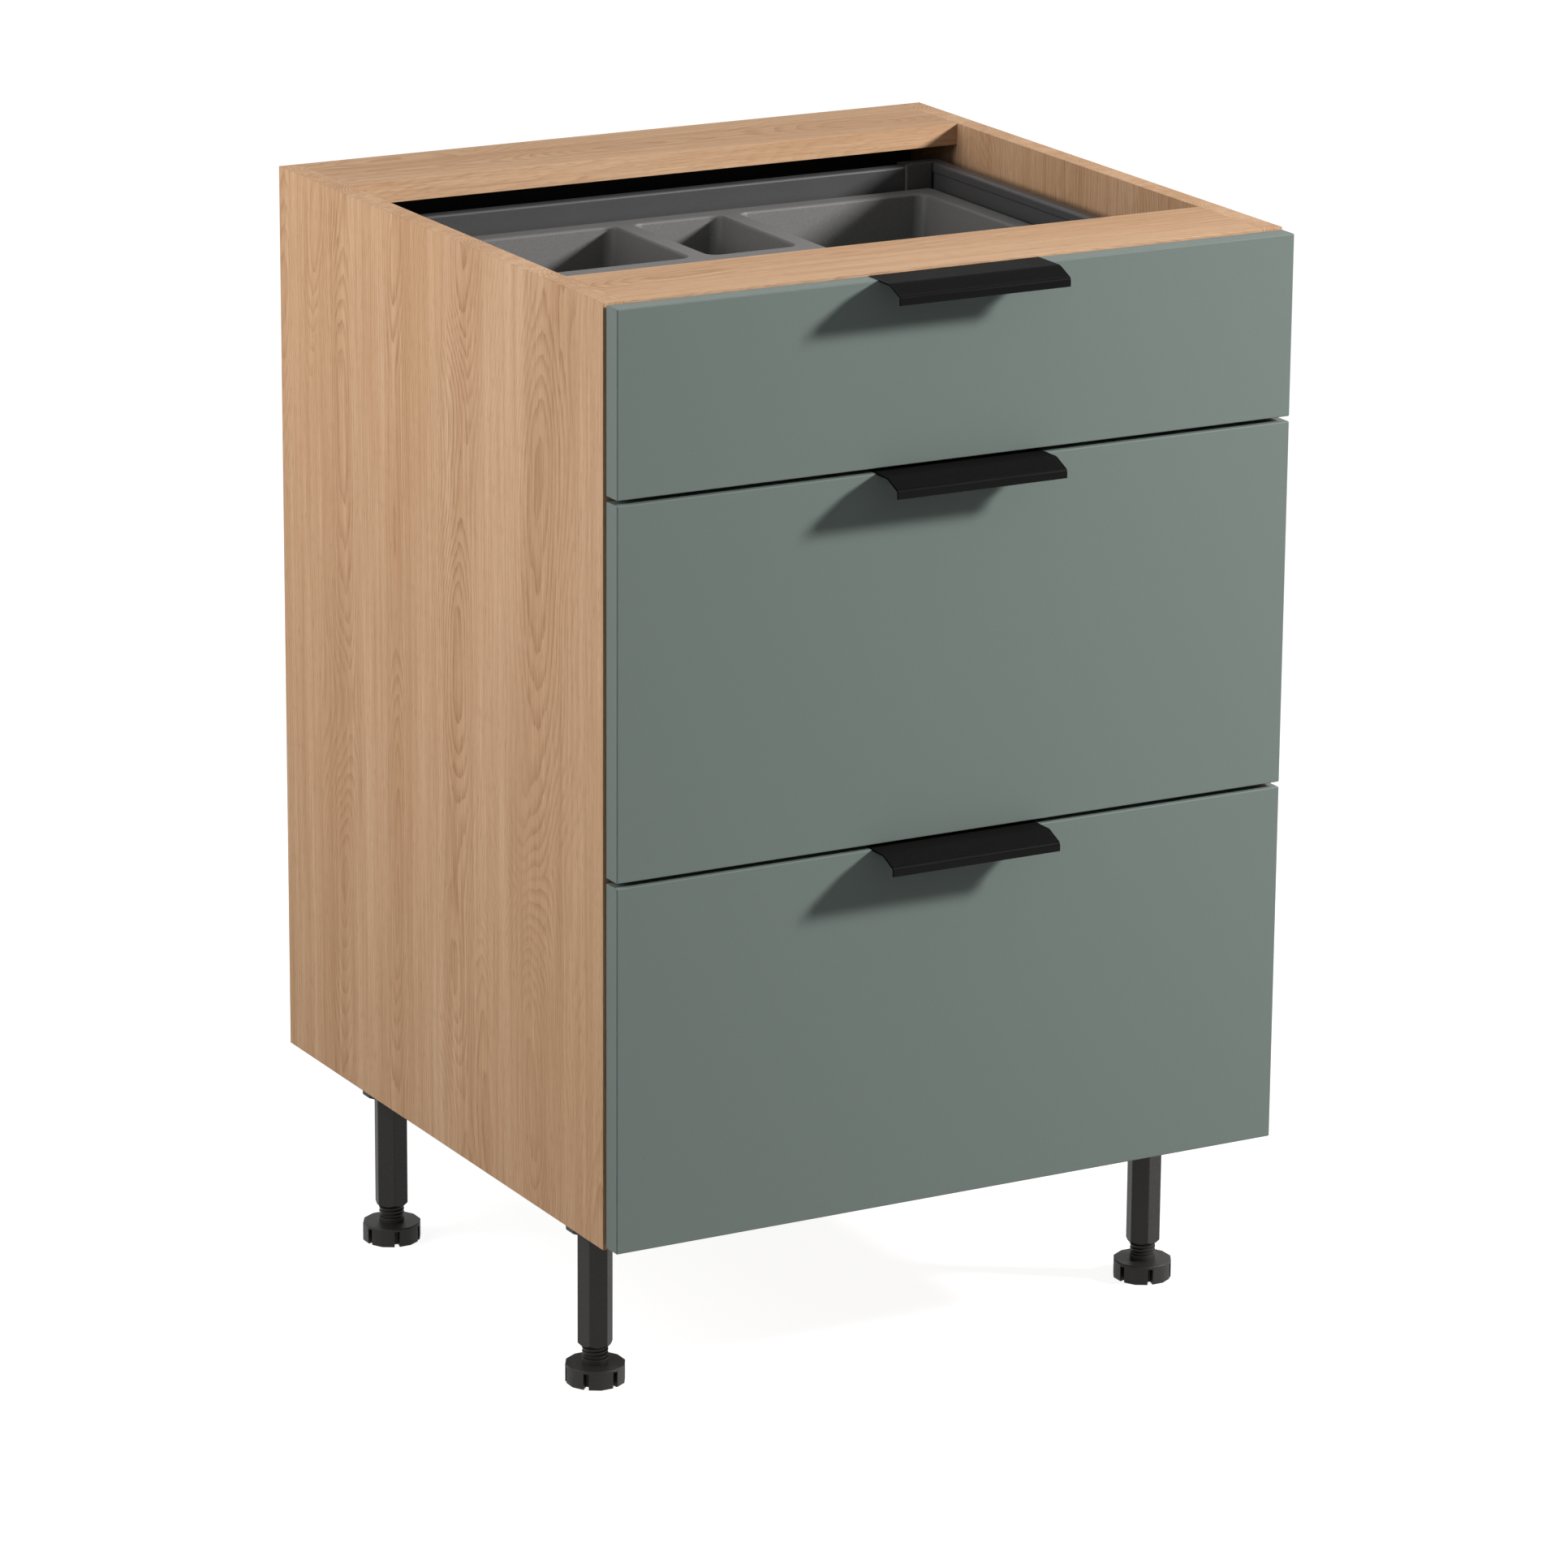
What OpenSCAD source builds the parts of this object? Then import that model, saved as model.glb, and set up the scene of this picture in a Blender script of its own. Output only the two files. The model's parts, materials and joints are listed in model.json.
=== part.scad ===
// Kitchen base cabinet, 600 wide, with three drawers on ball-bearing full-extension runners.
// Origin: on the floor, under the middle of the cabinet. X runs to the right, Y to the back, Z up.

/* [Carcass] */
// Outer width over both side panels
carcass_w = 600; // [500:10:900]
// Height of one grid unit; the carcass is five units high
grid_h = 150; // [145:1:165]
// Depth of the carcass without the fronts
carcass_d = 570; // [540:5:620]
// Thickness of the sides, bottom and top rails
board_t = 18; // [16:1:22]
// Depth of each top rail
rail_d = 95; // [80:5:120]
// Thickness of the back panel
back_t = 8; // [6:1:10]
// Distance from the back edges to the back panel
back_inset = 10; // [6:1:16]
// Depth of the grooves that hold the back panel
groove_depth = 8; // [5:1:9]

/* [Board joints] */
// Diameter of a cam lock
cam_d = 15; // [12:0.5:16]
// Height of a cam lock
cam_h = 12.4; // [10:0.2:13]
// Distance from a board's end to the axis of its cam lock
cam_back = 34; // [24:1:40]
// Diameter of a connecting bolt's shank
bolt_d = 6.8; // [6:0.2:7.4]
// Depth of a connecting bolt's thread in the side panel
bolt_bite = 11; // [8:1:13]
// Diameter of a wooden dowel
dowel_d = 8; // [6:1:8]
// Length of a wooden dowel
dowel_len = 30; // [24:2:36]
// Depth of a dowel in the side panel
dowel_bite = 12; // [8:1:13]
// Distance from a rail's outer edge to its cam lock
rail_cam_y = 26; // [20:1:30]
// Distance from the bottom panel's edges to its cam locks
bottom_cam_y = 46; // [42:1:54]
// Distance from each cam lock to the dowel beside it
joint_pitch = 32; // [24:1:34]

/* [Fronts] */
// Thickness of the drawer fronts
front_t = 18; // [16:1:22]
// Gap between two fronts
front_gap = 4; // [3:0.5:5]
// Gap between a front and the carcass
front_standoff = 2; // [1.5:0.1:3]
// Part of the side panel left bare beside a front
side_reveal = 1.5; // [1:0.5:3]
// Part of the carcass left bare above the top front
top_reveal = 1.5; // [1.2:0.1:4]
// Part of the carcass left bare below the bottom front
bottom_reveal = 2.5; // [0:0.5:6]
// Radius of the eased front edges
front_ease = 1; // [0.5:0.1:1.5]

/* [Handles] */
// Width of a handle
handle_w = 150; // [100:5:300]
// Thickness of the handle's sheet
handle_t = 1.8; // [1.4:0.1:2]
// Depth that the handle is let into the top edge of its front
handle_let_in = 1.2; // [1:0.1:1.4]
// Distance that the handle stands out from its front
handle_reach = 33; // [28:0.5:44]
// Flat stretch of the handle in front of its front
handle_flat = 16.5; // [10:0.5:18]
// Height of the handle's fall towards its lip
handle_drop = 7; // [4:0.5:9]
// Height of the handle's lip
handle_lip = 7; // [6:0.5:14]
// Height of the fixing leg behind the front
handle_leg = 30; // [20:1:40]

/* [Legs] */
// Height of the carcass above the floor
leg_h = 150; // [130:1:180]
// Distance from the outer face of a side panel to a leg's axis
leg_side = 45; // [42:1:70]
// Distance from the front and back edges of the carcass to a leg's axis
leg_edge = 100; // [90:1:130]
// Width of the hexagonal column across its flats
column_af = 25; // [24:0.5:30]
// Diameter of the foot and of the flange, across the corners
foot_d = 49; // [44:1:60]
// Height of the foot
foot_h = 16; // [12:1:20]
// Height of the hollow flange under the bottom panel
flange_h = 21; // [14:0.5:26]
// Diameter of the plug in the bottom panel
plug_d = 20; // [16:1:24]
// Height of the plug
plug_h = 11; // [8:1:13]
// Diameter of the threaded stud
stud_d = 21; // [18:0.5:21.5]
// Length of the stud above the foot
stud_len = 60; // [50:1:70]
// Length of the stud that shows below the column
stud_show = 14.5; // [13:0.5:20]
// Distance that the foot can be screwed up from here
foot_up = 12; // [6:1:12]
// Width of the six slots in the foot
slot_w = 4.2; // [3:0.2:5]
// Depth of the slots in the foot
slot_depth = 8; // [5:0.5:10]
// Web left above the slots
slot_web = 2.4; // [2:0.2:4]

/* [Drawer boxes] */
// Gap between a side panel and a drawer side, filled by the runner
side_gap = 13; // [12.6:0.1:14]
// Width of a hollow drawer side
shell_w = 13; // [12:0.5:16]
// Height of a drawer side
shell_h = 90; // [84:1:110]
// Length of a drawer side
box_len = 478; // [440:1:500]
// Thickness of the sheet steel of the sides and backs
sheet_t = 1.2; // [0.8:0.1:1.4]
// Width of the ledge that carries the drawer bottom
ledge_w = 14; // [10:1:14]
// Thickness of a drawer bottom
bottom_t = 16; // [12:1:18]
// Height of a drawer box above the lower edge of its front
box_lift = 28; // [26:1:32]
// Height of the back of a deep drawer
deep_back_h = 170; // [140:5:200]
// Distance from the rear end of a drawer side to the face of the back
back_setback = 6; // [5:0.5:10]
// Width of the corner piece beside the back
corner_w = 26; // [24:1:34]
// Diameter of the gallery rails over the sides of a deep drawer
gallery_d = 10; // [8:0.5:12]

/* [Runners] */
// Length of each runner member
runner_len = 470; // [420:5:476]
// Distance from the carcass front to the runners
runner_y = 4; // [2:1:8]
// Height of the cabinet member
runner_h = 45; // [42:1:50]
// Height of the runner's centre line above the bottom of the drawer box
runner_up = 35; // [30:1:45]
// Thickness of the members' steel
runner_t = 1.2; // [1:0.1:1.4]
// Diameter of the balls
ball_d = 4; // [3.5:0.1:4.2]
// Radial play of a ball in its grooves
ball_play = 0.12; // [0.08:0.01:0.2]
// Depth of the ball grooves
race_depth = 0.35; // [0.2:0.05:0.45]
// Thickness of a ball cage
cage_t = 0.8; // [0.6:0.1:0.9]
// Length of a ball cage
cage_len = 200; // [150:5:220]
// Balls in each row of a cage
balls_per_row = 5; // [3:1:8]

/* [Cutlery tray] */
// Height of the tray
tray_h = 53; // [44:1:58]
// Wall thickness of the tray
tray_wall = 2; // [1.5:0.1:3]
// Width of the outer rim and of the lands between compartments
tray_land = 18; // [14:1:22]
// Width of the middle compartment
tray_mid_w = 80; // [70:1:120]
// Depth of the two short compartments at the back
tray_short = 134; // [100:1:160]
// Gap between the tray and the drawer sides
tray_gap = 4.5; // [2:0.5:8]
// Inward slope of the compartment walls, over their height
tray_draft = 5; // [3:0.5:8]
// Corner radius of the compartments
tray_r = 9; // [6:1:14]

/* [Hidden] */
$fn = 48;
bend_facets = 8; // flat strips in each bend of a sheet

// Colours as the object shows them
oak = [0.80, 0.66, 0.52];
sage = [0.44, 0.49, 0.47];
black_plastic = [0.16, 0.15, 0.14];
black_metal = [0.10, 0.10, 0.11];
drawer_grey = [0.30, 0.30, 0.31];
tray_grey = [0.42, 0.42, 0.42];
zinc = [0.72, 0.73, 0.75];
beech = [0.85, 0.72, 0.52];

// Grid units of the top, middle and lower front
UNITS = [1, 2, 2];
TOP = 0;
MIDDLE = 1;
LOWER = 2;

// Clearances
touch = 0.05; // radial play of a plug, bolt or dowel in its hole
stud_play = 0.08; // radial play of the stud in the column
slip = 0.1; // play of a sheet or panel in its slot
cage_air = 0.4; // air on each side of a ball cage

// Carcass
carcass_h = grid_h * (UNITS[TOP] + UNITS[MIDDLE] + UNITS[LOWER]);
side_x = carcass_w / 2 - board_t;
back_y = carcass_d - back_inset - back_t;
stand_out = front_standoff + front_t + handle_reach;
origin_y = -(carcass_d - stand_out) / 2;
rail_z = carcass_h - board_t;
rail_starts = [0, carcass_d - rail_d];

// Board joints: the cam's Y, the dowel's Y and the height of the board's underside
cam_room = cam_h + touch;
rail_joints = [
    [rail_cam_y, rail_cam_y + joint_pitch, rail_z],
    [carcass_d - rail_cam_y, carcass_d - rail_cam_y - joint_pitch, rail_z]
];
bottom_joints = [
    [bottom_cam_y, bottom_cam_y - joint_pitch, 0],
    [back_y - bottom_cam_y, back_y - bottom_cam_y + joint_pitch, 0]
];
board_joints = concat(rail_joints, bottom_joints);
cam_x = side_x - cam_back;
bolt_head_d = bolt_d - 0.6;
bolt_head_len = 5;
bolt_neck_d = bolt_d / 2;
bolt_air = 0.4; // air around the bolt's head and neck in the cam lock
cross_len = 7; // cross slot of a cam lock
cross_w = 1.2;
cross_depth = 1.6;

// Fronts
front_w = carcass_w - 2 * side_reveal;
front_back_y = -front_standoff;
front_face_y = front_back_y - front_t;
function units_above(i) = i == TOP ? 0 : UNITS[i - 1] + units_above(i - 1);
function line_above(i) = carcass_h - grid_h * units_above(i);
function front_top(i) = line_above(i) - (i == TOP ? top_reveal : front_gap / 2);
function front_low(i) = line_above(i) - grid_h * UNITS[i] + (i == LOWER ? bottom_reveal : front_gap / 2);
function front_h(i) = front_top(i) - front_low(i);

// Handles
handle_bend = 1;
fall_bend = 8;
lip_bend = 1.5;
fall_run = handle_reach - handle_flat;
fall_angle = atan(handle_drop / fall_run);
fall_len = sqrt(handle_drop * handle_drop + fall_run * fall_run);

// Drawer boxes
box_out_x = side_x - side_gap;
box_in_x = box_out_x - shell_w;
bead_step = 1;
bead_h = 7;
skin_x = box_in_x + bead_step;
box_back_y = box_len - back_setback;
floor_top = sheet_t + bottom_t;
shell_mid_x = (box_in_x + box_out_x) / 2;
small_bend = 0.5;
top_bend = 1.5;
return_w = 3;
// Length and slanted straight of the double bend under the bead
jog = 45;
jog_straight = (bead_step - (2 * small_bend + sheet_t) * (1 - cos(jog))) / sin(jog);
jog_len = (2 * small_bend + sheet_t) * sin(jog) + jog_straight * cos(jog);
back_flange = 12;
back_hem = 8;
// Tongues of the brackets and corner pieces inside the hollow sides
tongue_x = skin_x + sheet_t + slip;
tongue_w = box_out_x - sheet_t - slip - tongue_x;
tongue_low = 6;
tongue_top = shell_h - bead_h - 6;
front_tongue = 60;
rear_tongue = 24;
bracket_wing = 10;
bracket_wall = 1.5;
bracket_hole_d = 4.2;
bracket_hole_in = 12; // from the ends of a bracket's plate to its screw holes
bracket_low = floor_top + 1;
bracket_top = shell_h - 4;
corner_x = box_in_x - corner_w;
corner_tuck = 6;
corner_proud = 2;
corner_rear = 8;
corner_rise = 1.5;
corner_inset = 1; // from the outer face of a drawer side to its corner piece
rib_pitch = 28;
rib_t = 2;
gallery_up = deep_back_h - gallery_d;
gallery_seat = 10;
gallery_start = 0.5;
holder_wall = 2;
function box_z(i) = front_low(i) + box_lift;
function back_h(i) = i == TOP ? shell_h - corner_rise : deep_back_h;

// Runners, measured inwards from the side panel
lane = ball_d + 2 * ball_play - 2 * race_depth;
mid_web = runner_t + 2 * cage_air + cage_t;
inner_tip = mid_web + runner_t + 2 * cage_air + cage_t;
mid_half = runner_h / 2 - runner_t - lane;
inner_half = mid_half - runner_t - lane;
ball_in = (inner_tip + side_gap - runner_t) / 2;
outer_row = runner_h / 2 - runner_t - lane / 2;
inner_row = mid_half - runner_t - lane / 2;
runner_mid_y = runner_y + runner_len / 2;
ball_pitch = cage_len / balls_per_row;
screw_d = 5;
screw_bite = 12;
screw_head_d = 9;
screw_inset = 33; // from a runner's ends to its outer screws
screw_places = [runner_y + screw_inset, runner_mid_y, runner_y + runner_len - screw_inset];
lip_air = 0.6; // gap between the lips of a cabinet member and the drawer side
mid_lip_air = 1;
member_bend = 1;
cage_lip = 0.6; // part of a ball cage that stands past its balls
function runner_z(i) = box_z(i) + runner_up;

// Legs
column_len = leg_h - foot_h - stud_show;
column_r = column_af / 2 / cos(30);
chamfer = 3;
leg_turn = 15;
flange_slope = 1;
flange_wall = 2.4;
flange_top = 3; // plate that lies against the bottom panel
leg_rib_t = 2;
leg_rib_in = 1.5; // how far the ribs stand back from the flange's lower rim
bore_spare = 2; // room above the stud when the foot is screwed right up
bore_depth = stud_len - stud_show + foot_up + bore_spare;
split_w = 1.6; // split that lets the plug spread
split_depth = 7;
stud_point = 2; // chamfer at the stud's end
leg_x = carcass_w / 2 - leg_side;
leg_front_y = leg_edge;
leg_back_y = carcass_d - leg_edge;

// Cutlery tray
tray_x = box_in_x - tray_gap;
tray_front_y = 3;
tray_back_y = box_back_y - tray_gap - corner_proud;
tray_in_x = tray_x - tray_land;
tray_mid_x = tray_mid_w / 2;
tray_in_front = tray_front_y + tray_land;
tray_in_back = tray_back_y - tray_land;
tray_low_r = tray_r - 3;
tray_skirt = 9;
tray_rim_r = 6;
short_front = tray_in_back - tray_short;
long_back = short_front - tray_land;
// Each compartment: left, right, front, back
COMPARTMENTS = [
    [-tray_in_x, -tray_mid_x - tray_land, short_front, tray_in_back],
    [-tray_mid_x, tray_mid_x, short_front, tray_in_back],
    [-tray_in_x, -tray_mid_x - tray_land, tray_in_front, long_back],
    [-tray_mid_x, tray_mid_x, tray_in_front, long_back],
    [tray_mid_x + tray_land, tray_in_x, tray_in_front, tray_in_back]
];

// Places what is drawn from the carcass's lower front edge
module in_cabinet() {
    translate([0, origin_y, leg_h]) children();
}

// Draws the children on the right, and their mirror image on the left
module both_sides() {
    children();
    mirror([1, 0, 0]) children();
}

// Runs a profile drawn in X and Z along Y
module along_y(start, length) {
    translate([0, start + length, 0]) rotate([90, 0, 0]) linear_extrude(length) children();
}

// Runs a profile drawn in Y and Z along X, centred
module along_x(length) {
    translate([-length / 2, 0, 0]) rotate([90, 0, 90]) linear_extrude(length) children();
}

// A cylinder along X from one place to another
module bar_x(from, to, d) {
    translate([from, 0, 0]) rotate([0, 90, 0]) cylinder(d = d, h = to - from);
}

// A box from its low corner to its high corner
module block(low, high) {
    translate(low) cube(high - low);
}

function heading(angle) = [cos(angle), sin(angle)];

// Where a step of a bent sheet starts on its lower face, as [x, y, heading]
function sheet_start(steps, t, k) =
    k == 0 ? [0, 0, 0] :
    let (
        start = sheet_start(steps, t, k - 1),
        angle = steps[k - 1][1],
        centre = bend_centre(steps, t, k - 1),
        end = centre + bend_radius(steps, t, k - 1, 0) * heading(start[2] + angle - sign(angle) * 90)
    )
    [end[0], end[1], start[2] + angle];

// The centre of the bend after a step, above the sheet for a left turn and below it for a right turn
function bend_centre(steps, t, k) =
    let (
        start = sheet_start(steps, t, k),
        reach = steps[k][1] > 0 ? t + steps[k][2] : -steps[k][2]
    )
    [start[0], start[1]] + steps[k][0] * heading(start[2]) + reach * heading(start[2] + 90);

// The radius of that bend on the lower face (0) or the upper face (1)
function bend_radius(steps, t, k, face) = steps[k][2] + ((steps[k][1] > 0) == (face == 0) ? t : 0);

// The points of one face of a bent sheet, from its first end to its last
function sheet_face(steps, t, face) =
    let (
        last = len(steps) - 1,
        start = sheet_start(steps, t, last)
    )
    concat(
        [[0, face * t]],
        [for (k = [0 : last - 1], turn = [0 : bend_facets])
            let (angle = steps[k][1])
            bend_centre(steps, t, k) + bend_radius(steps, t, k, face)
                * heading(sheet_start(steps, t, k)[2] - sign(angle) * 90 + angle * turn / bend_facets)],
        [[start[0], start[1]] + steps[last][0] * heading(start[2]) + face * t * heading(start[2] + 90)]
    );

// A bent sheet seen end on. Each step is [straight length, bend angle, inner bend radius]; the
// first one runs along X, and a positive angle turns to the left, over the sheet's upper face.
module bent_sheet(steps, t) {
    lower = sheet_face(steps, t, 0);
    upper = sheet_face(steps, t, 1);
    polygon(concat(lower, [for (k = [len(upper) - 1 : -1 : 0]) upper[k]]));
}

// A rectangle with round corners of one radius
module round_rect(w, h, r) {
    translate([r, 0]) square([w - 2 * r, h]);
    translate([0, r]) square([w, h - 2 * r]);
    for (x = [r, w - r], y = [r, h - r]) translate([x, y]) circle(r = r);
}

// Carcass boards

module back_groove() {
    block([side_x - 1, back_y - slip, -1], [side_x + groove_depth, back_y + back_t + slip, rail_z]);
}

module side_panel() {
    difference() {
        block([side_x, 0, 0], [side_x + board_t, carcass_d, carcass_h]);
        back_groove();
        for (joint = board_joints) {
            translate([0, joint[0], joint[2] + board_t / 2])
                bar_x(side_x - 1, side_x + bolt_bite, screw_d + 2 * touch);
            translate([0, joint[1], joint[2] + board_t / 2])
                bar_x(side_x - 1, side_x + dowel_bite + slip, dowel_d + 2 * touch);
        }
        for (i = [TOP, MIDDLE, LOWER], y = screw_places)
            translate([0, y, runner_z(i)]) bar_x(side_x - 1, side_x + screw_bite, screw_d + 2 * touch);
    }
}

module side_panel_left() {
    color(oak) in_cabinet() mirror([1, 0, 0]) side_panel();
}

module side_panel_right() {
    color(oak) in_cabinet() side_panel();
}

// The bores at one end of a board, for a bolt with its cam lock and for a dowel
module end_bores(joint) {
    z_mid = joint[2] + board_t / 2;
    translate([0, joint[0], z_mid]) bar_x(cam_x, side_x + 1, bolt_d + 2 * touch);
    translate([cam_x, joint[0], joint[2] - 1]) cylinder(d = cam_d + 2 * touch, h = cam_room + 1);
    translate([0, joint[1], z_mid])
        bar_x(side_x - (dowel_len - dowel_bite) - slip, side_x + 1, dowel_d + 2 * touch);
}

module bottom_panel() {
    color(oak) in_cabinet() difference() {
        block([-side_x, 0, 0], [side_x, back_y, board_t]);
        both_sides() for (joint = bottom_joints) end_bores(joint);
        both_sides() for (y = [leg_front_y, leg_back_y])
            translate([leg_x, y, -1]) cylinder(d = plug_d + 2 * touch, h = plug_h + slip + 1);
    }
}

module back_panel() {
    edge = side_x + groove_depth - slip;
    color(drawer_grey) in_cabinet() block([-edge, back_y, 0], [edge, back_y + back_t, rail_z]);
}

module top_rail(i) {
    color(oak) in_cabinet() difference() {
        block([-side_x, rail_starts[i], rail_z], [side_x, rail_starts[i] + rail_d, carcass_h]);
        both_sides() end_bores(rail_joints[i]);
    }
}

module top_rail_front() {
    top_rail(0);
}

module top_rail_back() {
    top_rail(1);
}

// Furniture fittings

module cam_lock() {
    head_room = bolt_head_len / 2 + bolt_air;
    difference() {
        cylinder(d = cam_d, h = cam_h);
        // Pocket and slot that take the bolt's head and neck
        translate([0, 0, board_t / 2]) {
            bar_x(-head_room, head_room, bolt_head_d + 2 * bolt_air);
            bar_x(0, cam_d, bolt_neck_d + 2 * bolt_air);
        }
        // Cross slot for the screwdriver
        for (turn = [0, 90]) rotate(turn)
            translate([-cross_len / 2, -cross_w / 2, -1]) cube([cross_len, cross_w, cross_depth + 1]);
    }
}

module cam_locks() {
    color(zinc) in_cabinet() both_sides() for (joint = board_joints)
        translate([cam_x, joint[0], joint[2]]) cam_lock();
}

module connecting_bolts() {
    neck_end = cam_x + cam_d / 2 + bolt_air;
    color(zinc) in_cabinet() both_sides() for (joint = board_joints)
        translate([0, joint[0], joint[2] + board_t / 2]) {
            bar_x(side_x, side_x + bolt_bite - slip, screw_d);
            bar_x(neck_end, side_x, bolt_d);
            bar_x(cam_x, neck_end, bolt_neck_d);
            bar_x(cam_x - bolt_head_len / 2, cam_x + bolt_head_len / 2, bolt_head_d);
        }
}

module dowels() {
    color(beech) in_cabinet() both_sides() for (joint = board_joints)
        translate([0, joint[1], joint[2] + board_t / 2])
            bar_x(side_x - (dowel_len - dowel_bite), side_x + dowel_bite, dowel_d);
}

// Countersunk head and shank of the screws that hold the cabinet members
module runner_screw(extra = 0) {
    translate([side_x - runner_t, 0, 0]) rotate([0, 90, 0])
        cylinder(d1 = screw_head_d + extra, d2 = screw_d + extra, h = runner_t);
    bar_x(side_x, side_x + screw_bite - slip, screw_d);
}

module runner_screws() {
    color(zinc) in_cabinet() both_sides() for (i = [TOP, MIDDLE, LOWER], y = screw_places)
        translate([0, y, runner_z(i)]) runner_screw();
}

// Legs

// Flange that carries the bottom panel: a twelve-sided cup, open below, with ribs to the column
module leg_flange() {
    rim_d = foot_d - 2 * flange_slope;
    difference() {
        translate([0, 0, -flange_h]) cylinder(d1 = rim_d, d2 = foot_d, h = flange_h, $fn = 12);
        translate([0, 0, -flange_h - 1])
            cylinder(d = rim_d - 2 * flange_wall, h = flange_h - flange_top + 1, $fn = 12);
    }
    for (k = [0 : 5]) rotate(60 * k)
        translate([0, -leg_rib_t / 2, leg_rib_in - flange_h])
            cube([(rim_d - flange_wall) / 2, leg_rib_t, flange_h - leg_rib_in - flange_top / 2]);
}

// One leg in its own frame: the flange's upper face at 0, the column hanging down
module leg() {
    color(black_plastic) difference() {
        union() {
            leg_flange();
            cylinder(d = plug_d, h = plug_h);
            intersection() {
                translate([0, 0, -column_len]) cylinder(r = column_r, h = column_len, $fn = 6);
                union() {
                    translate([0, 0, -column_len])
                        cylinder(r1 = column_r - chamfer, r2 = column_r + 0.5, h = chamfer + 0.5);
                    translate([0, 0, -column_len + chamfer + 0.5])
                        cylinder(r = column_r + 0.5, h = column_len);
                }
            }
        }
        translate([0, 0, -column_len - 1]) cylinder(d = stud_d + 2 * stud_play, h = bore_depth + 1);
        // Cross-shaped split that lets the plug spread
        for (turn = [0, 90]) rotate(turn)
            translate([-plug_d, -split_w / 2, plug_h - split_depth]) cube([2 * plug_d, split_w, split_depth + 1]);
    }
}

// One foot in its own frame: its sole at 0
module foot() {
    color(black_plastic) difference() {
        union() {
            cylinder(d = foot_d, h = foot_h, $fn = 12);
            cylinder(d = stud_d, h = foot_h + stud_len - stud_point);
            translate([0, 0, foot_h + stud_len - stud_point])
                cylinder(d1 = stud_d, d2 = stud_d - 2 * stud_point, h = stud_point);
        }
        for (k = [0 : 5]) rotate(60 * k)
            translate([foot_d / 2 - slot_depth, -slot_w / 2, -1])
                cube([slot_depth + 1, slot_w, foot_h - slot_web + 1]);
    }
}

// Stands a leg or foot in its corner, turned as its mirror image on the other side
module in_corner(side, y, z) {
    translate([side * leg_x, origin_y + y, z])
        rotate(side * (y < carcass_d / 2 ? leg_turn : -leg_turn)) children();
}

module leg_front_left() {
    in_corner(-1, leg_front_y, leg_h) leg();
}

module leg_front_right() {
    in_corner(1, leg_front_y, leg_h) leg();
}

module leg_back_left() {
    in_corner(-1, leg_back_y, leg_h) leg();
}

module leg_back_right() {
    in_corner(1, leg_back_y, leg_h) leg();
}

module foot_front_left() {
    in_corner(-1, leg_front_y, 0) foot();
}

module foot_front_right() {
    in_corner(1, leg_front_y, 0) foot();
}

module foot_back_left() {
    in_corner(-1, leg_back_y, 0) foot();
}

module foot_back_right() {
    in_corner(1, leg_back_y, 0) foot();
}

// Runners

// A channel member seen end on, with its web at one depth and its flanges ending at another
module channel(web_at, tip_at, half) {
    depth = abs(tip_at - web_at);
    flange = depth - runner_t - member_bend;
    web = 2 * (half - runner_t - member_bend);
    translate([web_at, 0]) mirror([tip_at < web_at ? 1 : 0, 0]) translate([depth, half]) rotate(180)
        bent_sheet([[flange, 90, member_bend], [web, 90, member_bend], [flange, 0, 0]], runner_t);
}

// The ball grooves that are rolled into the flanges of the members
module races(row) {
    for (v = [-row, row]) translate([ball_in, v]) circle(d = ball_d + 2 * ball_play);
}

// Places a profile that is measured inwards from the right side panel
module runner_profile(i, start, length) {
    translate([side_x, 0, runner_z(i)]) mirror([1, 0, 0]) along_y(start, length) children();
}

module cabinet_runners(i) {
    color(zinc) in_cabinet() both_sides() difference() {
        runner_profile(i, runner_y, runner_len) difference() {
            channel(0, side_gap - lip_air, runner_h / 2);
            races(outer_row);
        }
        for (y = screw_places) translate([0, y, runner_z(i)]) runner_screw(2 * touch);
    }
}

module intermediate_runners(i) {
    color(zinc) in_cabinet() both_sides() runner_profile(i, runner_y, runner_len) difference() {
        channel(mid_web, side_gap - mid_lip_air, mid_half);
        races(outer_row);
        races(inner_row);
    }
}

module drawer_runners(i) {
    color(zinc) in_cabinet() both_sides() runner_profile(i, runner_y, runner_len) difference() {
        channel(side_gap, inner_tip, inner_half);
        races(inner_row);
    }
}

// The places of the balls in the two rows of a cage
module ball_places(i, row) {
    for (k = [0 : balls_per_row - 1], v = [-row, row])
        translate([side_x - ball_in, runner_mid_y + (k - (balls_per_row - 1) / 2) * ball_pitch, runner_z(i) + v])
            children();
}

// A pair of ball cages with their balls, for two rows and with a web at one depth
module ball_cages(i, row, web_at) {
    strip = ball_in + ball_d / 2 + cage_lip - web_at;
    color(zinc) in_cabinet() both_sides() {
        difference() {
            runner_profile(i, runner_mid_y - cage_len / 2, cage_len) {
                translate([web_at, -row]) square([cage_t, 2 * row]);
                for (v = [-row, row]) translate([web_at, v - cage_t / 2]) square([strip, cage_t]);
            }
            ball_places(i, row) cylinder(d = ball_d + 4 * ball_play, h = 2 * cage_t, center = true);
        }
        ball_places(i, row) sphere(d = ball_d);
    }
}

module outer_ball_cages(i) {
    ball_cages(i, outer_row, runner_t + cage_air);
}

module inner_ball_cages(i) {
    ball_cages(i, inner_row, mid_web + runner_t + cage_air);
}

// Drawer fronts and handles

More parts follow.
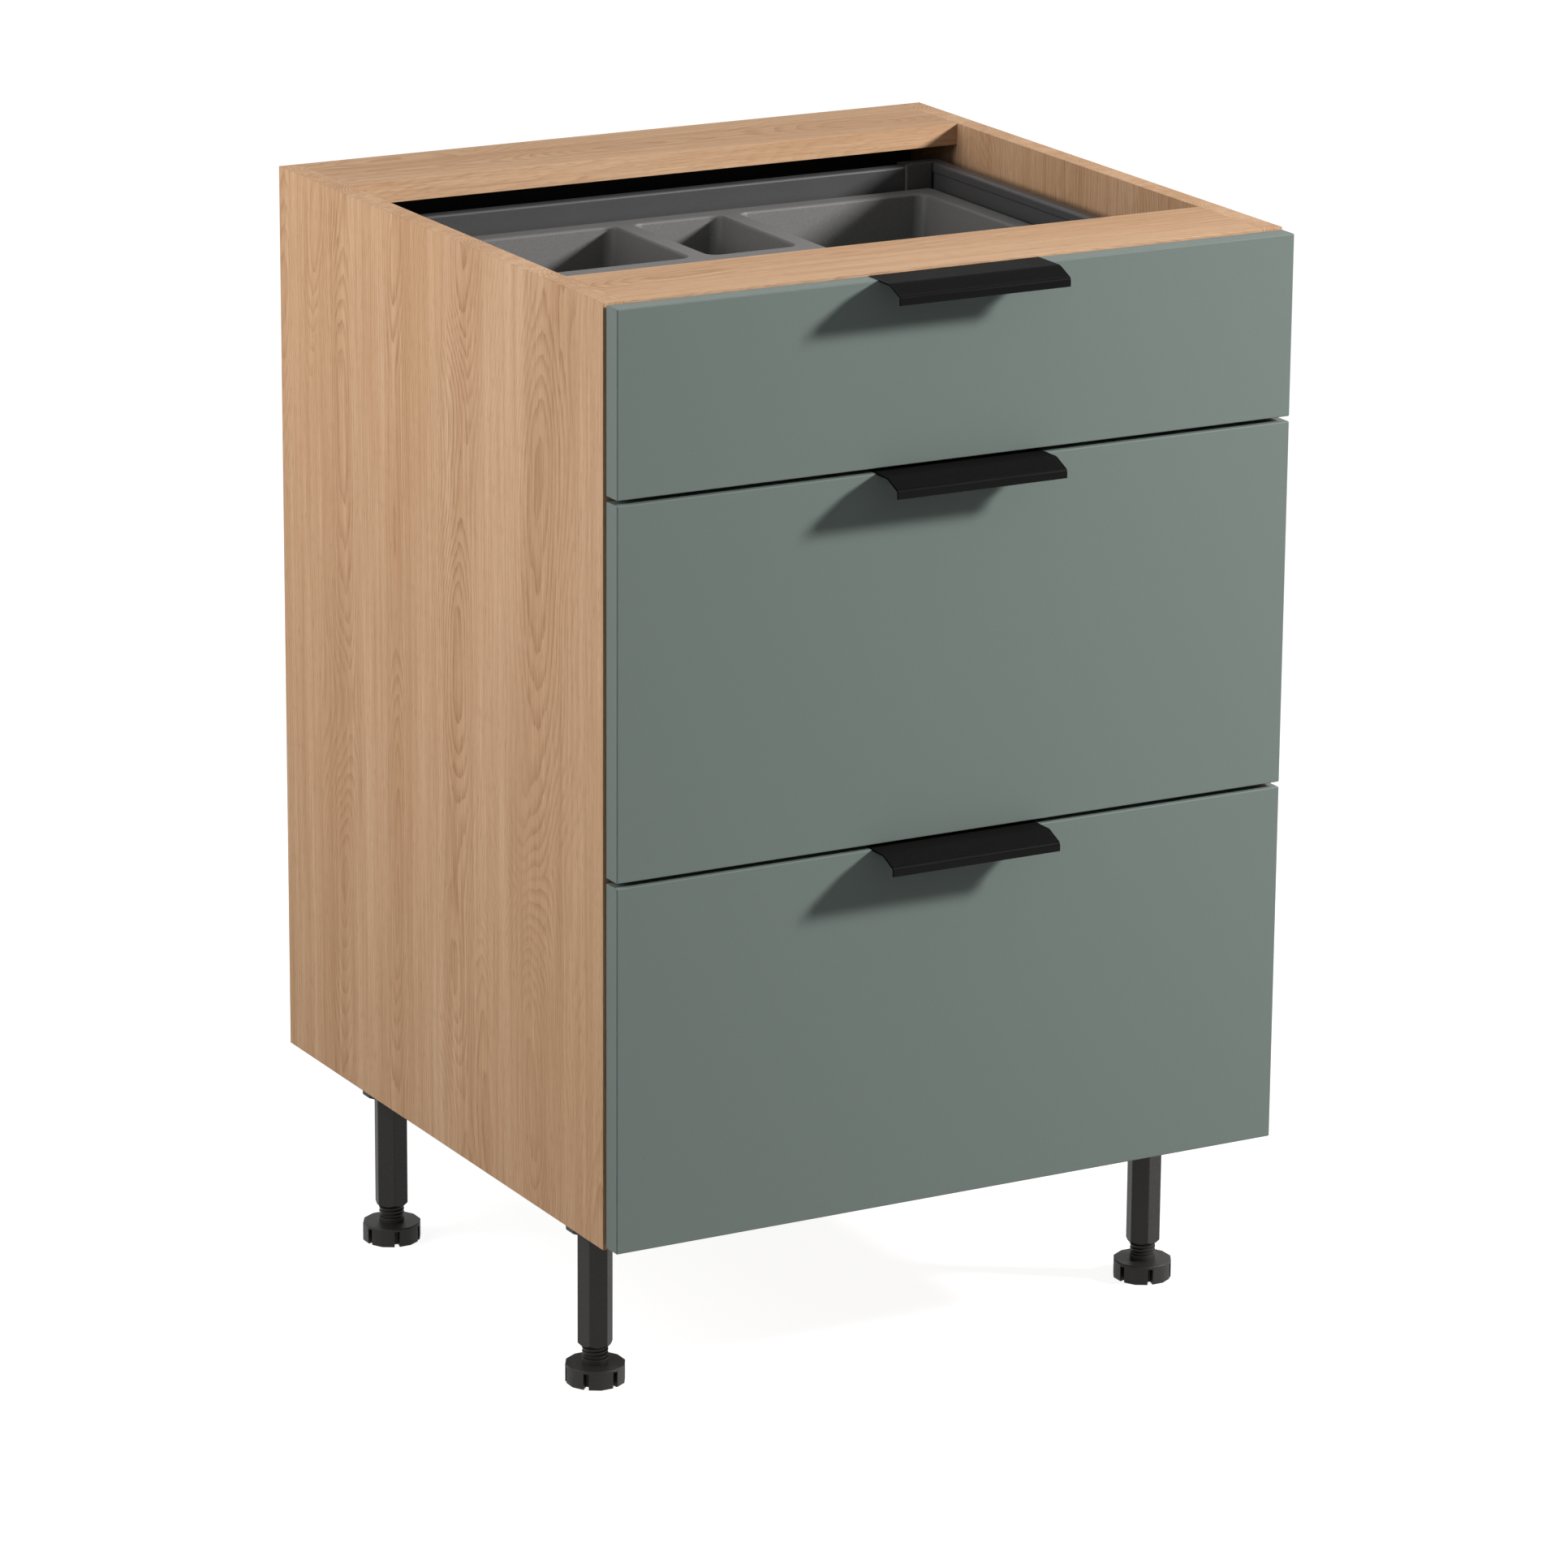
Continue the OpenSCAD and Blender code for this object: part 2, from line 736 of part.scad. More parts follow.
// A handle seen end on, from the leg behind the front over the flat top to the lip
module handle_profile() {
    // Lengths that the bends take from the straights beside them
    fall_take = (fall_bend + handle_t) * tan(fall_angle / 2);
    lip_angle = 90 - fall_angle;
    lip_take = (lip_bend + handle_t) * tan(lip_angle / 2);
    top_run = front_t + handle_flat - handle_bend - handle_t;
    translate([front_back_y, -handle_let_in - handle_leg]) rotate(90) bent_sheet([
        [handle_leg - handle_bend, 90, handle_bend],
        [top_run - fall_take, fall_angle, fall_bend],
        [fall_len - fall_take - lip_take, lip_angle, lip_bend],
        [handle_lip - lip_take, 0, 0]
    ], handle_t);
}

module drawer_handle(i) {
    color(black_metal) in_cabinet() translate([0, 0, front_top(i)]) along_x(handle_w) handle_profile();
}

module drawer_front(i) {
    h = front_h(i);
    seat_x = handle_w / 2 + slip;
    seat_z = front_top(i) - handle_let_in;
    color(sage) in_cabinet() difference() {
        translate([0, 0, front_low(i)]) intersection() {
            // Outline seen from the front
            translate([-front_w / 2, front_back_y, 0]) rotate([90, 0, 0])
                linear_extrude(front_t) round_rect(front_w, h, front_ease);
            // Eased edges along the top and bottom
            along_x(front_w) translate([front_face_y, 0]) {
                round_rect(front_t, h, front_ease);
                translate([front_t / 2, 0]) square([front_t / 2, h]);
            }
            // Eased edges along the left and right
            translate([-front_w / 2, front_face_y, 0]) linear_extrude(h) {
                round_rect(front_w, front_t, front_ease);
                translate([0, front_t / 2]) square([front_w, front_t / 2]);
            }
        }
        // Seat of the handle in the top edge, and of its leg in the back face, with a bevel for its bend
        block([-seat_x, front_face_y - 1, seat_z], [seat_x, front_back_y + 1, front_top(i) + 1]);
        block([-seat_x, front_back_y - handle_t, seat_z - handle_leg], [seat_x, front_back_y + 1, front_top(i)]);
        along_x(2 * seat_x) translate([front_back_y - handle_t, seat_z])
            rotate(45) square(sqrt(2) * handle_bend, center = true);
    }
}

// Drawer boxes

// A hollow side seen end on: ledge, inner skin, bead, flat top, outer skin and return
module shell_profile() {
    skin = shell_h - bead_h - jog_len - small_bend - sheet_t;
    translate([skin_x - ledge_w, 0]) bent_sheet([
        [ledge_w - small_bend, 90, small_bend],
        [skin, jog, small_bend],
        [jog_straight, -jog, small_bend],
        [bead_h - top_bend - sheet_t, -90, top_bend],
        [shell_w - 2 * (top_bend + sheet_t), -90, top_bend],
        [shell_h - 2 * sheet_t - top_bend - small_bend, -90, small_bend],
        [return_w, 0, 0]
    ], sheet_t);
}

module drawer_side(i) {
    color(drawer_grey) in_cabinet() translate([0, 0, box_z(i)]) along_y(0, box_len) shell_profile();
}

module drawer_side_left(i) {
    mirror([1, 0, 0]) drawer_side(i);
}

module drawer_bottom(i) {
    half = skin_x - small_bend;
    color(drawer_grey) in_cabinet() translate([0, 0, box_z(i)])
        block([-half, front_back_y, sheet_t], [half, box_back_y - small_bend, floor_top]);
}

// A drawer back seen end on: flange under the drawer bottom, web, top flange and hem
module back_profile(h) {
    bend = 1;
    translate([box_back_y - back_flange, 0]) bent_sheet([
        [back_flange - small_bend, 90, small_bend],
        [h - small_bend - 2 * sheet_t - bend, -90, bend],
        [back_flange - 2 * (sheet_t + bend), -90, bend],
        [back_hem - sheet_t - bend, 0, 0]
    ], sheet_t);
}

module drawer_back(i) {
    color(drawer_grey) in_cabinet() translate([0, 0, box_z(i)])
        along_x(2 * (corner_x + corner_tuck)) back_profile(back_h(i));
}

// The moulded piece that joins the back to the right side, in the drawer box's own height
module corner_piece(h, gallery) {
    tuck_x = corner_x + corner_tuck + slip;
    rear_y = box_len + corner_rear;
    difference() {
        union() {
            // Post beside the back, with a round edge towards the drawer
            translate([corner_x, box_back_y - corner_proud, floor_top]) linear_extrude(h - floor_top) {
                round_rect(corner_w, box_len - box_back_y + corner_proud, corner_proud);
                translate([0, corner_proud]) square([corner_w, box_len - box_back_y]);
            }
            block([corner_x, box_back_y, sheet_t], [box_in_x, box_len, floor_top]);
            // Plate behind the end of the side, and the tongue inside it
            block([corner_x, box_len, 0], [box_out_x - corner_inset, rear_y, h]);
            block([tongue_x, box_len - rear_tongue, tongue_low], [tongue_x + tongue_w, box_len, tongue_top]);
            if (gallery) translate([shell_mid_x, rear_y, gallery_up]) rotate([90, 0, 0])
                cylinder(d = gallery_d + 2 * holder_wall, h = gallery_seat + corner_rear);
        }
        // Slot for the back's web and room for its top flange
        block([corner_x - 1, box_back_y, -1], [tuck_x, box_back_y + sheet_t + slip, h + 1]);
        block([corner_x - 1, box_back_y, h - corner_rise - back_hem - slip],
              [tuck_x, box_back_y + back_flange + slip, h + 1]);
        // Ribbed hollow behind the plate
        for (z = [2 * rib_t : rib_pitch : h - rib_pitch])
            block([tuck_x + rib_t, rear_y - corner_rear + rib_t, z],
                  [box_out_x - corner_inset - rib_t, rear_y + 1, z + rib_pitch - rib_t]);
        if (gallery) translate([shell_mid_x, box_len + 1, gallery_up]) rotate([90, 0, 0])
            cylinder(d = gallery_d + 2 * touch, h = gallery_seat + 2);
    }
}

module drawer_corners(i) {
    color(drawer_grey) in_cabinet() both_sides() translate([0, 0, box_z(i)])
        corner_piece(back_h(i) + corner_rise, i != TOP);
}

// The steel bracket between the front and the right side, in the drawer box's own height
module bracket(gallery) {
    holder_r = gallery_d / 2 + holder_wall;
    difference() {
        union() {
            block([box_in_x - bracket_wing, front_back_y, bracket_low], [box_out_x, 0, bracket_top]);
            block([tongue_x, 0, bracket_low], [tongue_x + tongue_w, front_tongue, tongue_top]);
            if (gallery) {
                block([shell_mid_x - holder_r, front_back_y, bracket_top], [shell_mid_x + holder_r, 0, gallery_up]);
                translate([shell_mid_x, gallery_seat, gallery_up]) rotate([90, 0, 0])
                    cylinder(r = holder_r, h = gallery_seat - front_back_y);
            }
        }
        // Open inner face of the tongue, which is folded from sheet
        block([tongue_x - 1, bracket_wall, bracket_low + bracket_wall],
              [tongue_x + tongue_w - bracket_wall, front_tongue + 1, tongue_top - bracket_wall]);
        // Screw holes for the front
        for (z = [bracket_low + bracket_hole_in, bracket_top - bracket_hole_in])
            translate([box_in_x - bracket_wing / 2, 1, z]) rotate([90, 0, 0])
                cylinder(d = bracket_hole_d, h = front_standoff + 2);
        if (gallery) translate([shell_mid_x, gallery_seat + 1, gallery_up]) rotate([90, 0, 0])
            cylinder(d = gallery_d + 2 * touch, h = gallery_seat + 1);
    }
}

module drawer_brackets(i) {
    color(zinc) in_cabinet() both_sides() translate([0, 0, box_z(i)]) bracket(i != TOP);
}

module gallery_rails(i) {
    color(drawer_grey) in_cabinet() both_sides()
        translate([shell_mid_x, box_len, box_z(i) + gallery_up]) rotate([90, 0, 0])
            cylinder(d = gallery_d, h = box_len - gallery_start);
}

// Cutlery tray

// One tapered compartment, grown on all sides by a wall, from a floor height up
module compartment(c, wall, floor_z, fn) {
    low_r = tray_low_r + wall;
    top_r = tray_r + wall;
    low_in = tray_draft + tray_low_r;
    hull() {
        for (x = [c[0] + low_in, c[1] - low_in], y = [c[2] + low_in, c[3] - low_in])
            translate([x, y, floor_z + low_r]) sphere(r = low_r, $fn = fn);
        for (x = [c[0] + tray_r, c[1] - tray_r], y = [c[2] + tray_r, c[3] - tray_r])
            translate([x, y, tray_h - 0.5]) cylinder(r = top_r, h = wall > 0 ? 0.5 : 1.5, $fn = fn);
    }
}

module cutlery_tray() {
    depth = tray_back_y - tray_front_y;
    color(tray_grey) in_cabinet() translate([0, 0, box_z(TOP) + floor_top]) difference() {
        union() {
            translate([-tray_x, tray_front_y, tray_h - tray_skirt]) linear_extrude(tray_skirt)
                round_rect(2 * tray_x, depth, tray_rim_r);
            for (c = COMPARTMENTS) compartment(c, tray_wall, 0, 20);
        }
        for (c = COMPARTMENTS) compartment(c, 0, tray_wall, 24);
        // Open underside of the rim, around the compartments
        difference() {
            translate([-tray_x + tray_wall, tray_front_y + tray_wall, -1]) linear_extrude(tray_h - tray_wall + 1)
                round_rect(2 * (tray_x - tray_wall), depth - 2 * tray_wall, tray_rim_r - tray_wall);
            for (c = COMPARTMENTS) compartment(c, tray_wall, 0, 20);
        }
    }
}

side_panel_left();
side_panel_right();
bottom_panel();
back_panel();
top_rail_front();
top_rail_back();
cam_locks();
connecting_bolts();
dowels();
runner_screws();
leg_front_left();
leg_front_right();
leg_back_left();
leg_back_right();
foot_front_left();
foot_front_right();
foot_back_left();
foot_back_right();
cabinet_runners(TOP);  // top_cabinet_runners
intermediate_runners(TOP);  // top_intermediate_runners
outer_ball_cages(TOP);  // top_outer_ball_cages
inner_ball_cages(TOP);  // top_inner_ball_cages
drawer_runners(TOP);  // top_drawer_runners
drawer_front(TOP);  // top_drawer_front
drawer_handle(TOP);  // top_drawer_handle
drawer_side_left(TOP);  // top_drawer_side_left
drawer_side(TOP);  // top_drawer_side_right
drawer_bottom(TOP);  // top_drawer_bottom
drawer_back(TOP);  // top_drawer_back
drawer_corners(TOP);  // top_drawer_corners
drawer_brackets(TOP);  // top_drawer_brackets
cutlery_tray();
cabinet_runners(MIDDLE);  // middle_cabinet_runners
intermediate_runners(MIDDLE);  // middle_intermediate_runners
outer_ball_cages(MIDDLE);  // middle_outer_ball_cages
inner_ball_cages(MIDDLE);  // middle_inner_ball_cages
drawer_runners(MIDDLE);  // middle_drawer_runners
drawer_front(MIDDLE);  // middle_drawer_front
drawer_handle(MIDDLE);  // middle_drawer_handle
drawer_side_left(MIDDLE);  // middle_drawer_side_left
drawer_side(MIDDLE);  // middle_drawer_side_right
drawer_bottom(MIDDLE);  // middle_drawer_bottom
drawer_back(MIDDLE);  // middle_drawer_back
drawer_corners(MIDDLE);  // middle_drawer_corners
drawer_brackets(MIDDLE);  // middle_drawer_brackets
gallery_rails(MIDDLE);  // middle_gallery_rails
cabinet_runners(LOWER);  // lower_cabinet_runners
intermediate_runners(LOWER);  // lower_intermediate_runners
outer_ball_cages(LOWER);  // lower_outer_ball_cages
inner_ball_cages(LOWER);  // lower_inner_ball_cages
drawer_runners(LOWER);  // lower_drawer_runners
drawer_front(LOWER);  // lower_drawer_front
drawer_handle(LOWER);  // lower_drawer_handle
drawer_side_left(LOWER);  // lower_drawer_side_left
drawer_side(LOWER);  // lower_drawer_side_right
drawer_bottom(LOWER);  // lower_drawer_bottom
drawer_back(LOWER);  // lower_drawer_back
drawer_corners(LOWER);  // lower_drawer_corners
drawer_brackets(LOWER);  // lower_drawer_brackets
gallery_rails(LOWER);  // lower_gallery_rails
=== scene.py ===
import json
import math

import bpy
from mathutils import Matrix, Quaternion, Vector


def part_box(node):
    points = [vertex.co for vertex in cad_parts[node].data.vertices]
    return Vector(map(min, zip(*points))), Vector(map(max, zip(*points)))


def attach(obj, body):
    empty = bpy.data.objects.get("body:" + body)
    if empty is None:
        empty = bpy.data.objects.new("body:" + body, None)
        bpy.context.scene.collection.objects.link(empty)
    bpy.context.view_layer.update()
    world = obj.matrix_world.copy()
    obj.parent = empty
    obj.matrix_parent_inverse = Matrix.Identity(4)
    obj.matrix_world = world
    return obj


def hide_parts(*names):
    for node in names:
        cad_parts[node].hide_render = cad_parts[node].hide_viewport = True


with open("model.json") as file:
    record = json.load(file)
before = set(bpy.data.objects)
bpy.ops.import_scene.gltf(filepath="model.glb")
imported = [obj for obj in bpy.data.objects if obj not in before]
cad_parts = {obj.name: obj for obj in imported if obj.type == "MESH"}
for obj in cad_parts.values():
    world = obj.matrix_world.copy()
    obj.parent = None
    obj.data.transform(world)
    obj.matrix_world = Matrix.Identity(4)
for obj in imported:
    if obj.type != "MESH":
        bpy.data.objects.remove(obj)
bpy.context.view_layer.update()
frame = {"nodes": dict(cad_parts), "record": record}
record = frame["record"]

# The cabinet is seen from its left, from a little above the worktop's height, through a long lens.
# The camera stands level enough that the side panels stay almost upright in the picture.
camera_place = Vector((-2.681, -4.8375, 2.055))
camera_turn = math.radians(29.0)
camera_dip = math.radians(16.49)
camera_roll = math.radians(0.43)
look = Vector((
    math.sin(camera_turn) * math.cos(camera_dip),
    math.cos(camera_turn) * math.cos(camera_dip),
    -math.sin(camera_dip),
))
camera_data = bpy.data.cameras.new("camera")
camera_data.sensor_width = 36
camera_data.lens = 162.75
camera_data.clip_end = 40
camera = bpy.data.objects.new("camera", camera_data)
bpy.context.scene.collection.objects.link(camera)
camera.location = camera_place
camera.rotation_mode = "QUATERNION"
camera.rotation_quaternion = look.to_track_quat("-Z", "Y") @ Quaternion((0, 0, 1), camera_roll)
bpy.context.scene.camera = camera


# A studio: a floor that runs out of sight and shows white, a dim sky that is brighter overhead and
# shows white too, a small soft lamp to the right of the fronts, and a larger one for the side panel.
def paint(red, green, blue):
    """A colour as a paint card gives it, from 0 to 255, as the shaders take it."""
    parts = []
    for value in (red, green, blue):
        value = value / 255
        parts.append(value / 12.92 if value <= 0.04045 else ((value + 0.055) / 1.055) ** 2.4)
    return (*parts, 1)


def add_node(tree, kind, place=(0, 0), **settings):
    node = tree.nodes.new(kind)
    node.location = place
    for name, value in settings.items():
        setattr(node, name, value)
    return node


def camera_or_mirror(tree):
    """1 for what the camera sees, directly, in a gloss or through something clear, and 0 for light."""
    rays = add_node(tree, "ShaderNodeLightPath", (-900, 300))
    both = add_node(tree, "ShaderNodeMath", (-700, 300), operation="MAXIMUM")
    total = add_node(tree, "ShaderNodeMath", (-500, 300), operation="MAXIMUM")
    tree.links.new(rays.outputs["Is Camera Ray"], both.inputs[0])
    tree.links.new(rays.outputs["Is Glossy Ray"], both.inputs[1])
    tree.links.new(both.outputs[0], total.inputs[0])
    tree.links.new(rays.outputs["Is Transmission Ray"], total.inputs[1])
    return total.outputs[0]


def soft_box(name, place, aim, side, power, tint):
    """A square lamp with sides of that length, at a place, turned to what it lights."""
    data = bpy.data.lights.new(name, "AREA")
    data.shape = "SQUARE"
    data.size = side
    data.energy = power
    data.color = tint
    lamp = bpy.data.objects.new(name, data)
    bpy.context.scene.collection.objects.link(lamp)
    lamp.location = place
    lamp.rotation_mode = "QUATERNION"
    lamp.rotation_quaternion = (Vector(aim) - Vector(place)).to_track_quat("-Z", "Y")


soft_box("lamp_right", (2.85, -1.9, 2.20), (0.0, -0.25, 0.7), 0.44, 235, (1.0, 0.985, 0.965))
soft_box("lamp_left", (-1.65, 0.32, 1.28), (-0.3, 0.02, 0.66), 1.0, 22.5, (1.0, 0.98, 0.96))

sky = bpy.data.worlds.new("studio")
sky.use_nodes = True
bpy.context.scene.world = sky
sky_tree = sky.node_tree
sky_light = sky_tree.nodes["Background"]
sky_light.inputs["Color"].default_value = (1, 1, 1, 1)
sky_way = add_node(sky_tree, "ShaderNodeTexCoord", (-1300, -200))
sky_parts = add_node(sky_tree, "ShaderNodeSeparateXYZ", (-1100, -200))
sky_height = add_node(sky_tree, "ShaderNodeMapRange", (-900, -200))
sky_height.inputs["To Min"].default_value = 0.11
sky_height.inputs["To Max"].default_value = 0.30
sky_level = add_node(sky_tree, "ShaderNodeMapRange", (-300, 0))
sky_level.inputs["To Max"].default_value = 1.0
sky_tree.links.new(sky_way.outputs["Generated"], sky_parts.inputs["Vector"])
sky_tree.links.new(sky_parts.outputs["Z"], sky_height.inputs["Value"])
sky_tree.links.new(sky_height.outputs["Result"], sky_level.inputs["To Min"])
sky_tree.links.new(camera_or_mirror(sky_tree), sky_level.inputs["Value"])
sky_tree.links.new(sky_level.outputs["Result"], sky_light.inputs["Strength"])

bpy.ops.object.select_all(action="DESELECT")
bpy.ops.mesh.primitive_plane_add(size=30, location=(0, 0, 0))
floor = bpy.context.active_object
floor.name = "studio_floor"
floor_paint = bpy.data.materials.new("studio_floor_white")
floor_paint.use_nodes = True
floor_tree = floor_paint.node_tree
floor_shader = floor_tree.nodes["Principled BSDF"]
floor_shader.inputs["Base Color"].default_value = (0.25, 0.25, 0.25, 1)
floor_shader.inputs["Roughness"].default_value = 0.9
floor_shader.inputs["Specular IOR Level"].default_value = 0.1
floor_shader.inputs["Emission Color"].default_value = (1, 1, 1, 1)
floor_glow = add_node(floor_tree, "ShaderNodeMath", (-300, -200), operation="MULTIPLY")
floor_glow.inputs[1].default_value = 0.92
floor_tree.links.new(camera_or_mirror(floor_tree), floor_glow.inputs[0])
floor_tree.links.new(floor_glow.outputs[0], floor_shader.inputs["Emission Strength"])

# A camera under the floor looks through it, at the underside of the cabinet
under = add_node(floor_tree, "ShaderNodeNewGeometry", (-100, 500))
camera_ray = add_node(floor_tree, "ShaderNodeLightPath", (-100, 300))
clear_part = add_node(floor_tree, "ShaderNodeMath", (100, 400), operation="MULTIPLY")
clear = add_node(floor_tree, "ShaderNodeBsdfTransparent", (100, 200))
floor_mix = add_node(floor_tree, "ShaderNodeMixShader", (300, 300))
floor_tree.links.new(under.outputs["Backfacing"], clear_part.inputs[0])
floor_tree.links.new(camera_ray.outputs["Is Camera Ray"], clear_part.inputs[1])
floor_tree.links.new(clear_part.outputs[0], floor_mix.inputs[0])
floor_tree.links.new(floor_shader.outputs["BSDF"], floor_mix.inputs[1])
floor_tree.links.new(clear.outputs["BSDF"], floor_mix.inputs[2])
floor_tree.links.new(floor_mix.outputs["Shader"], floor_tree.nodes["Material Output"].inputs["Surface"])
floor.data.materials.append(floor_paint)

# The view transform is the plain one, so that a paint shows as it is mixed.
bpy.context.scene.view_settings.view_transform = "Standard"


# Carcass boards: 18 mm particle board faced with a light oak decor, with edges banded to match.
# The grain stands upright in the sides and the back, and runs from side to side in rails and bottom.
def stretched_noise(tree, vector, stretch, place, scale=1.0, detail=2.0, roughness=0.5, distortion=0.0):
    """Noise whose blotches are as long and as wide as stretch makes them."""
    mapping = add_node(tree, "ShaderNodeMapping", place)
    mapping.inputs["Scale"].default_value = stretch
    noise = add_node(tree, "ShaderNodeTexNoise", (place[0] + 200, place[1]))
    noise.inputs["Scale"].default_value = scale
    noise.inputs["Detail"].default_value = detail
    noise.inputs["Roughness"].default_value = roughness
    noise.inputs["Distortion"].default_value = distortion
    tree.links.new(vector, mapping.inputs["Vector"])
    tree.links.new(mapping.outputs["Vector"], noise.inputs["Vector"])
    return noise.outputs["Fac"]


def ranged(tree, value, low, high, place, new_low=0.0, new_high=1.0):
    """The value, stretched so that low gives new_low and high gives new_high."""
    node = add_node(tree, "ShaderNodeMapRange", place)
    node.inputs["From Min"].default_value = low
    node.inputs["From Max"].default_value = high
    node.inputs["To Min"].default_value = new_low
    node.inputs["To Max"].default_value = new_high
    tree.links.new(value, node.inputs["Value"])
    return node.outputs["Result"]


def worked(tree, operation, first, second, place):
    """One sum of two values, either of which may be a number."""
    node = add_node(tree, "ShaderNodeMath", place, operation=operation)
    for socket, value in ((node.inputs[0], first), (node.inputs[1], second)):
        if isinstance(value, (int, float)):
            socket.default_value = value
        else:
            tree.links.new(value, socket)
    return node.outputs[0]


def tinted(tree, mask, under, over, place, blend="MIX"):
    """One colour laid over another where the mask says so; under may be a colour or a socket."""
    node = add_node(tree, "ShaderNodeMix", place, data_type="RGBA", blend_type=blend)
    for socket, value in ((node.inputs[6], under), (node.inputs[7], over)):
        if isinstance(value, tuple):
            socket.default_value = value
        else:
            tree.links.new(value, socket)
    if isinstance(mask, (int, float)):
        node.inputs[0].default_value = mask
    else:
        tree.links.new(mask, node.inputs[0])
    return node.outputs[2]


def build_oak_decor():
    """Oak with its grain along Z: year rings round wandering hearts, which a board cuts into flames."""
    group = bpy.data.node_groups.new("oak_decor", "ShaderNodeTree")
    group.interface.new_socket("Vector", in_out="INPUT", socket_type="NodeSocketVector")
    group.interface.new_socket("Color", in_out="OUTPUT", socket_type="NodeSocketColor")
    group.interface.new_socket("Roughness", in_out="OUTPUT", socket_type="NodeSocketFloat")
    group.interface.new_socket("Height", in_out="OUTPUT", socket_type="NodeSocketFloat")
    start = add_node(group, "NodeGroupInput", (-2400, 0)).outputs["Vector"]
    end = add_node(group, "NodeGroupOutput", (1600, 0))

    # Hearts stand 130 mm apart and wander sideways on their way up
    heart_half = 0.065
    parts = add_node(group, "ShaderNodeSeparateXYZ", (-2200, 300))
    group.links.new(start, parts.inputs["Vector"])
    wander_x = ranged(group, stretched_noise(group, start, (3.0, 3.0, 1.5), (-2200, 600), detail=2.0),
                      0.0, 1.0, (-1800, 600), -0.14, 0.14)
    wander_y = ranged(group, stretched_noise(group, start, (2.2, 2.2, 1.1), (-2200, -600), detail=1.0),
                      0.0, 1.0, (-1800, -600), -0.10, 0.10)
    far_x = worked(group, "PINGPONG", worked(group, "ADD", parts.outputs["X"], wander_x, (-1600, 500)),
                   heart_half, (-1400, 500))
    far_y = worked(group, "PINGPONG", worked(group, "ADD", parts.outputs["Y"], wander_y, (-1600, 300)),
                   heart_half, (-1400, 300))
    squares = worked(group, "ADD", worked(group, "MULTIPLY", far_x, far_x, (-1200, 500)),
                     worked(group, "MULTIPLY", far_y, far_y, (-1200, 300)), (-1000, 400))
    radius = worked(group, "SQRT", squares, 0.0, (-800, 400))

    # Small knots push the rings aside and are dark in the middle
    knot_place = add_node(group, "ShaderNodeMapping", (-2200, -1000))
    knot_place.inputs["Scale"].default_value = (6.2, 6.2, 2.1)
    knot_cells = add_node(group, "ShaderNodeTexVoronoi", (-2000, -1000))
    knot_cells.inputs["Scale"].default_value = 1.0
    group.links.new(start, knot_place.inputs["Vector"])
    group.links.new(knot_place.outputs["Vector"], knot_cells.inputs["Vector"])
    knot_far = knot_cells.outputs["Distance"]
    knot_push = ranged(group, knot_far, 0.0, 0.16, (-1800, -1000), 0.013, 0.0)
    knot_core = ranged(group, knot_far, 0.010, 0.045, (-1800, -1250), 1.0, 0.0)

    wobble = ranged(group, stretched_noise(group, start, (45.0, 45.0, 5.0), (-1600, 0), detail=3.0), 0.0, 1.0,
                    (-1200, 0), -0.0035, 0.0035)
    radius = worked(group, "ADD", worked(group, "ADD", radius, wobble, (-600, 400)), knot_push, (-400, 400))
    rings = worked(group, "FRACT", worked(group, "MULTIPLY", radius, 300.0, (-200, 400)), 0.0, (0, 400))
    late = worked(group, "MULTIPLY", ranged(group, rings, 0.40, 0.92, (200, 400)),
                  ranged(group, rings, 0.94, 1.0, (200, 200), 1.0, 0.0), (400, 400))
    fade = stretched_noise(group, start, (12.0, 12.0, 1.8), (-600, 800), detail=2.0)
    near_heart = ranged(group, far_y, 0.012, 0.05, (0, 1000), 1.0, 0.45)
    late = worked(group, "MULTIPLY", late, ranged(group, fade, 0.36, 0.60, (-200, 800), 0.32, 1.0), (600, 400))
    late = worked(group, "MULTIPLY", late, near_heart, (700, 500))

    # Fibres, streaks and pores
    fibre = stretched_noise(group, start, (750.0, 750.0, 10.0), (-1400, -300), detail=4.0, roughness=0.65)
    broken = ranged(group, stretched_noise(group, start, (420.0, 420.0, 26.0), (-1400, -900), detail=3.0),
                    0.36, 0.60, (-1000, -900), 0.25, 1.0)
    late = worked(group, "MULTIPLY", late, broken, (750, 600))
    streak = stretched_noise(group, start, (110.0, 110.0, 2.0), (-1000, -300), detail=3.0, roughness=0.6)
    pore = ranged(group, stretched_noise(group, start, (1400.0, 1400.0, 70.0), (-600, -500), detail=1.0),
                  0.58, 0.70, (-200, -500))
    broad = stretched_noise(group, start, (7.0, 7.0, 0.6), (-600, -800), detail=1.0)

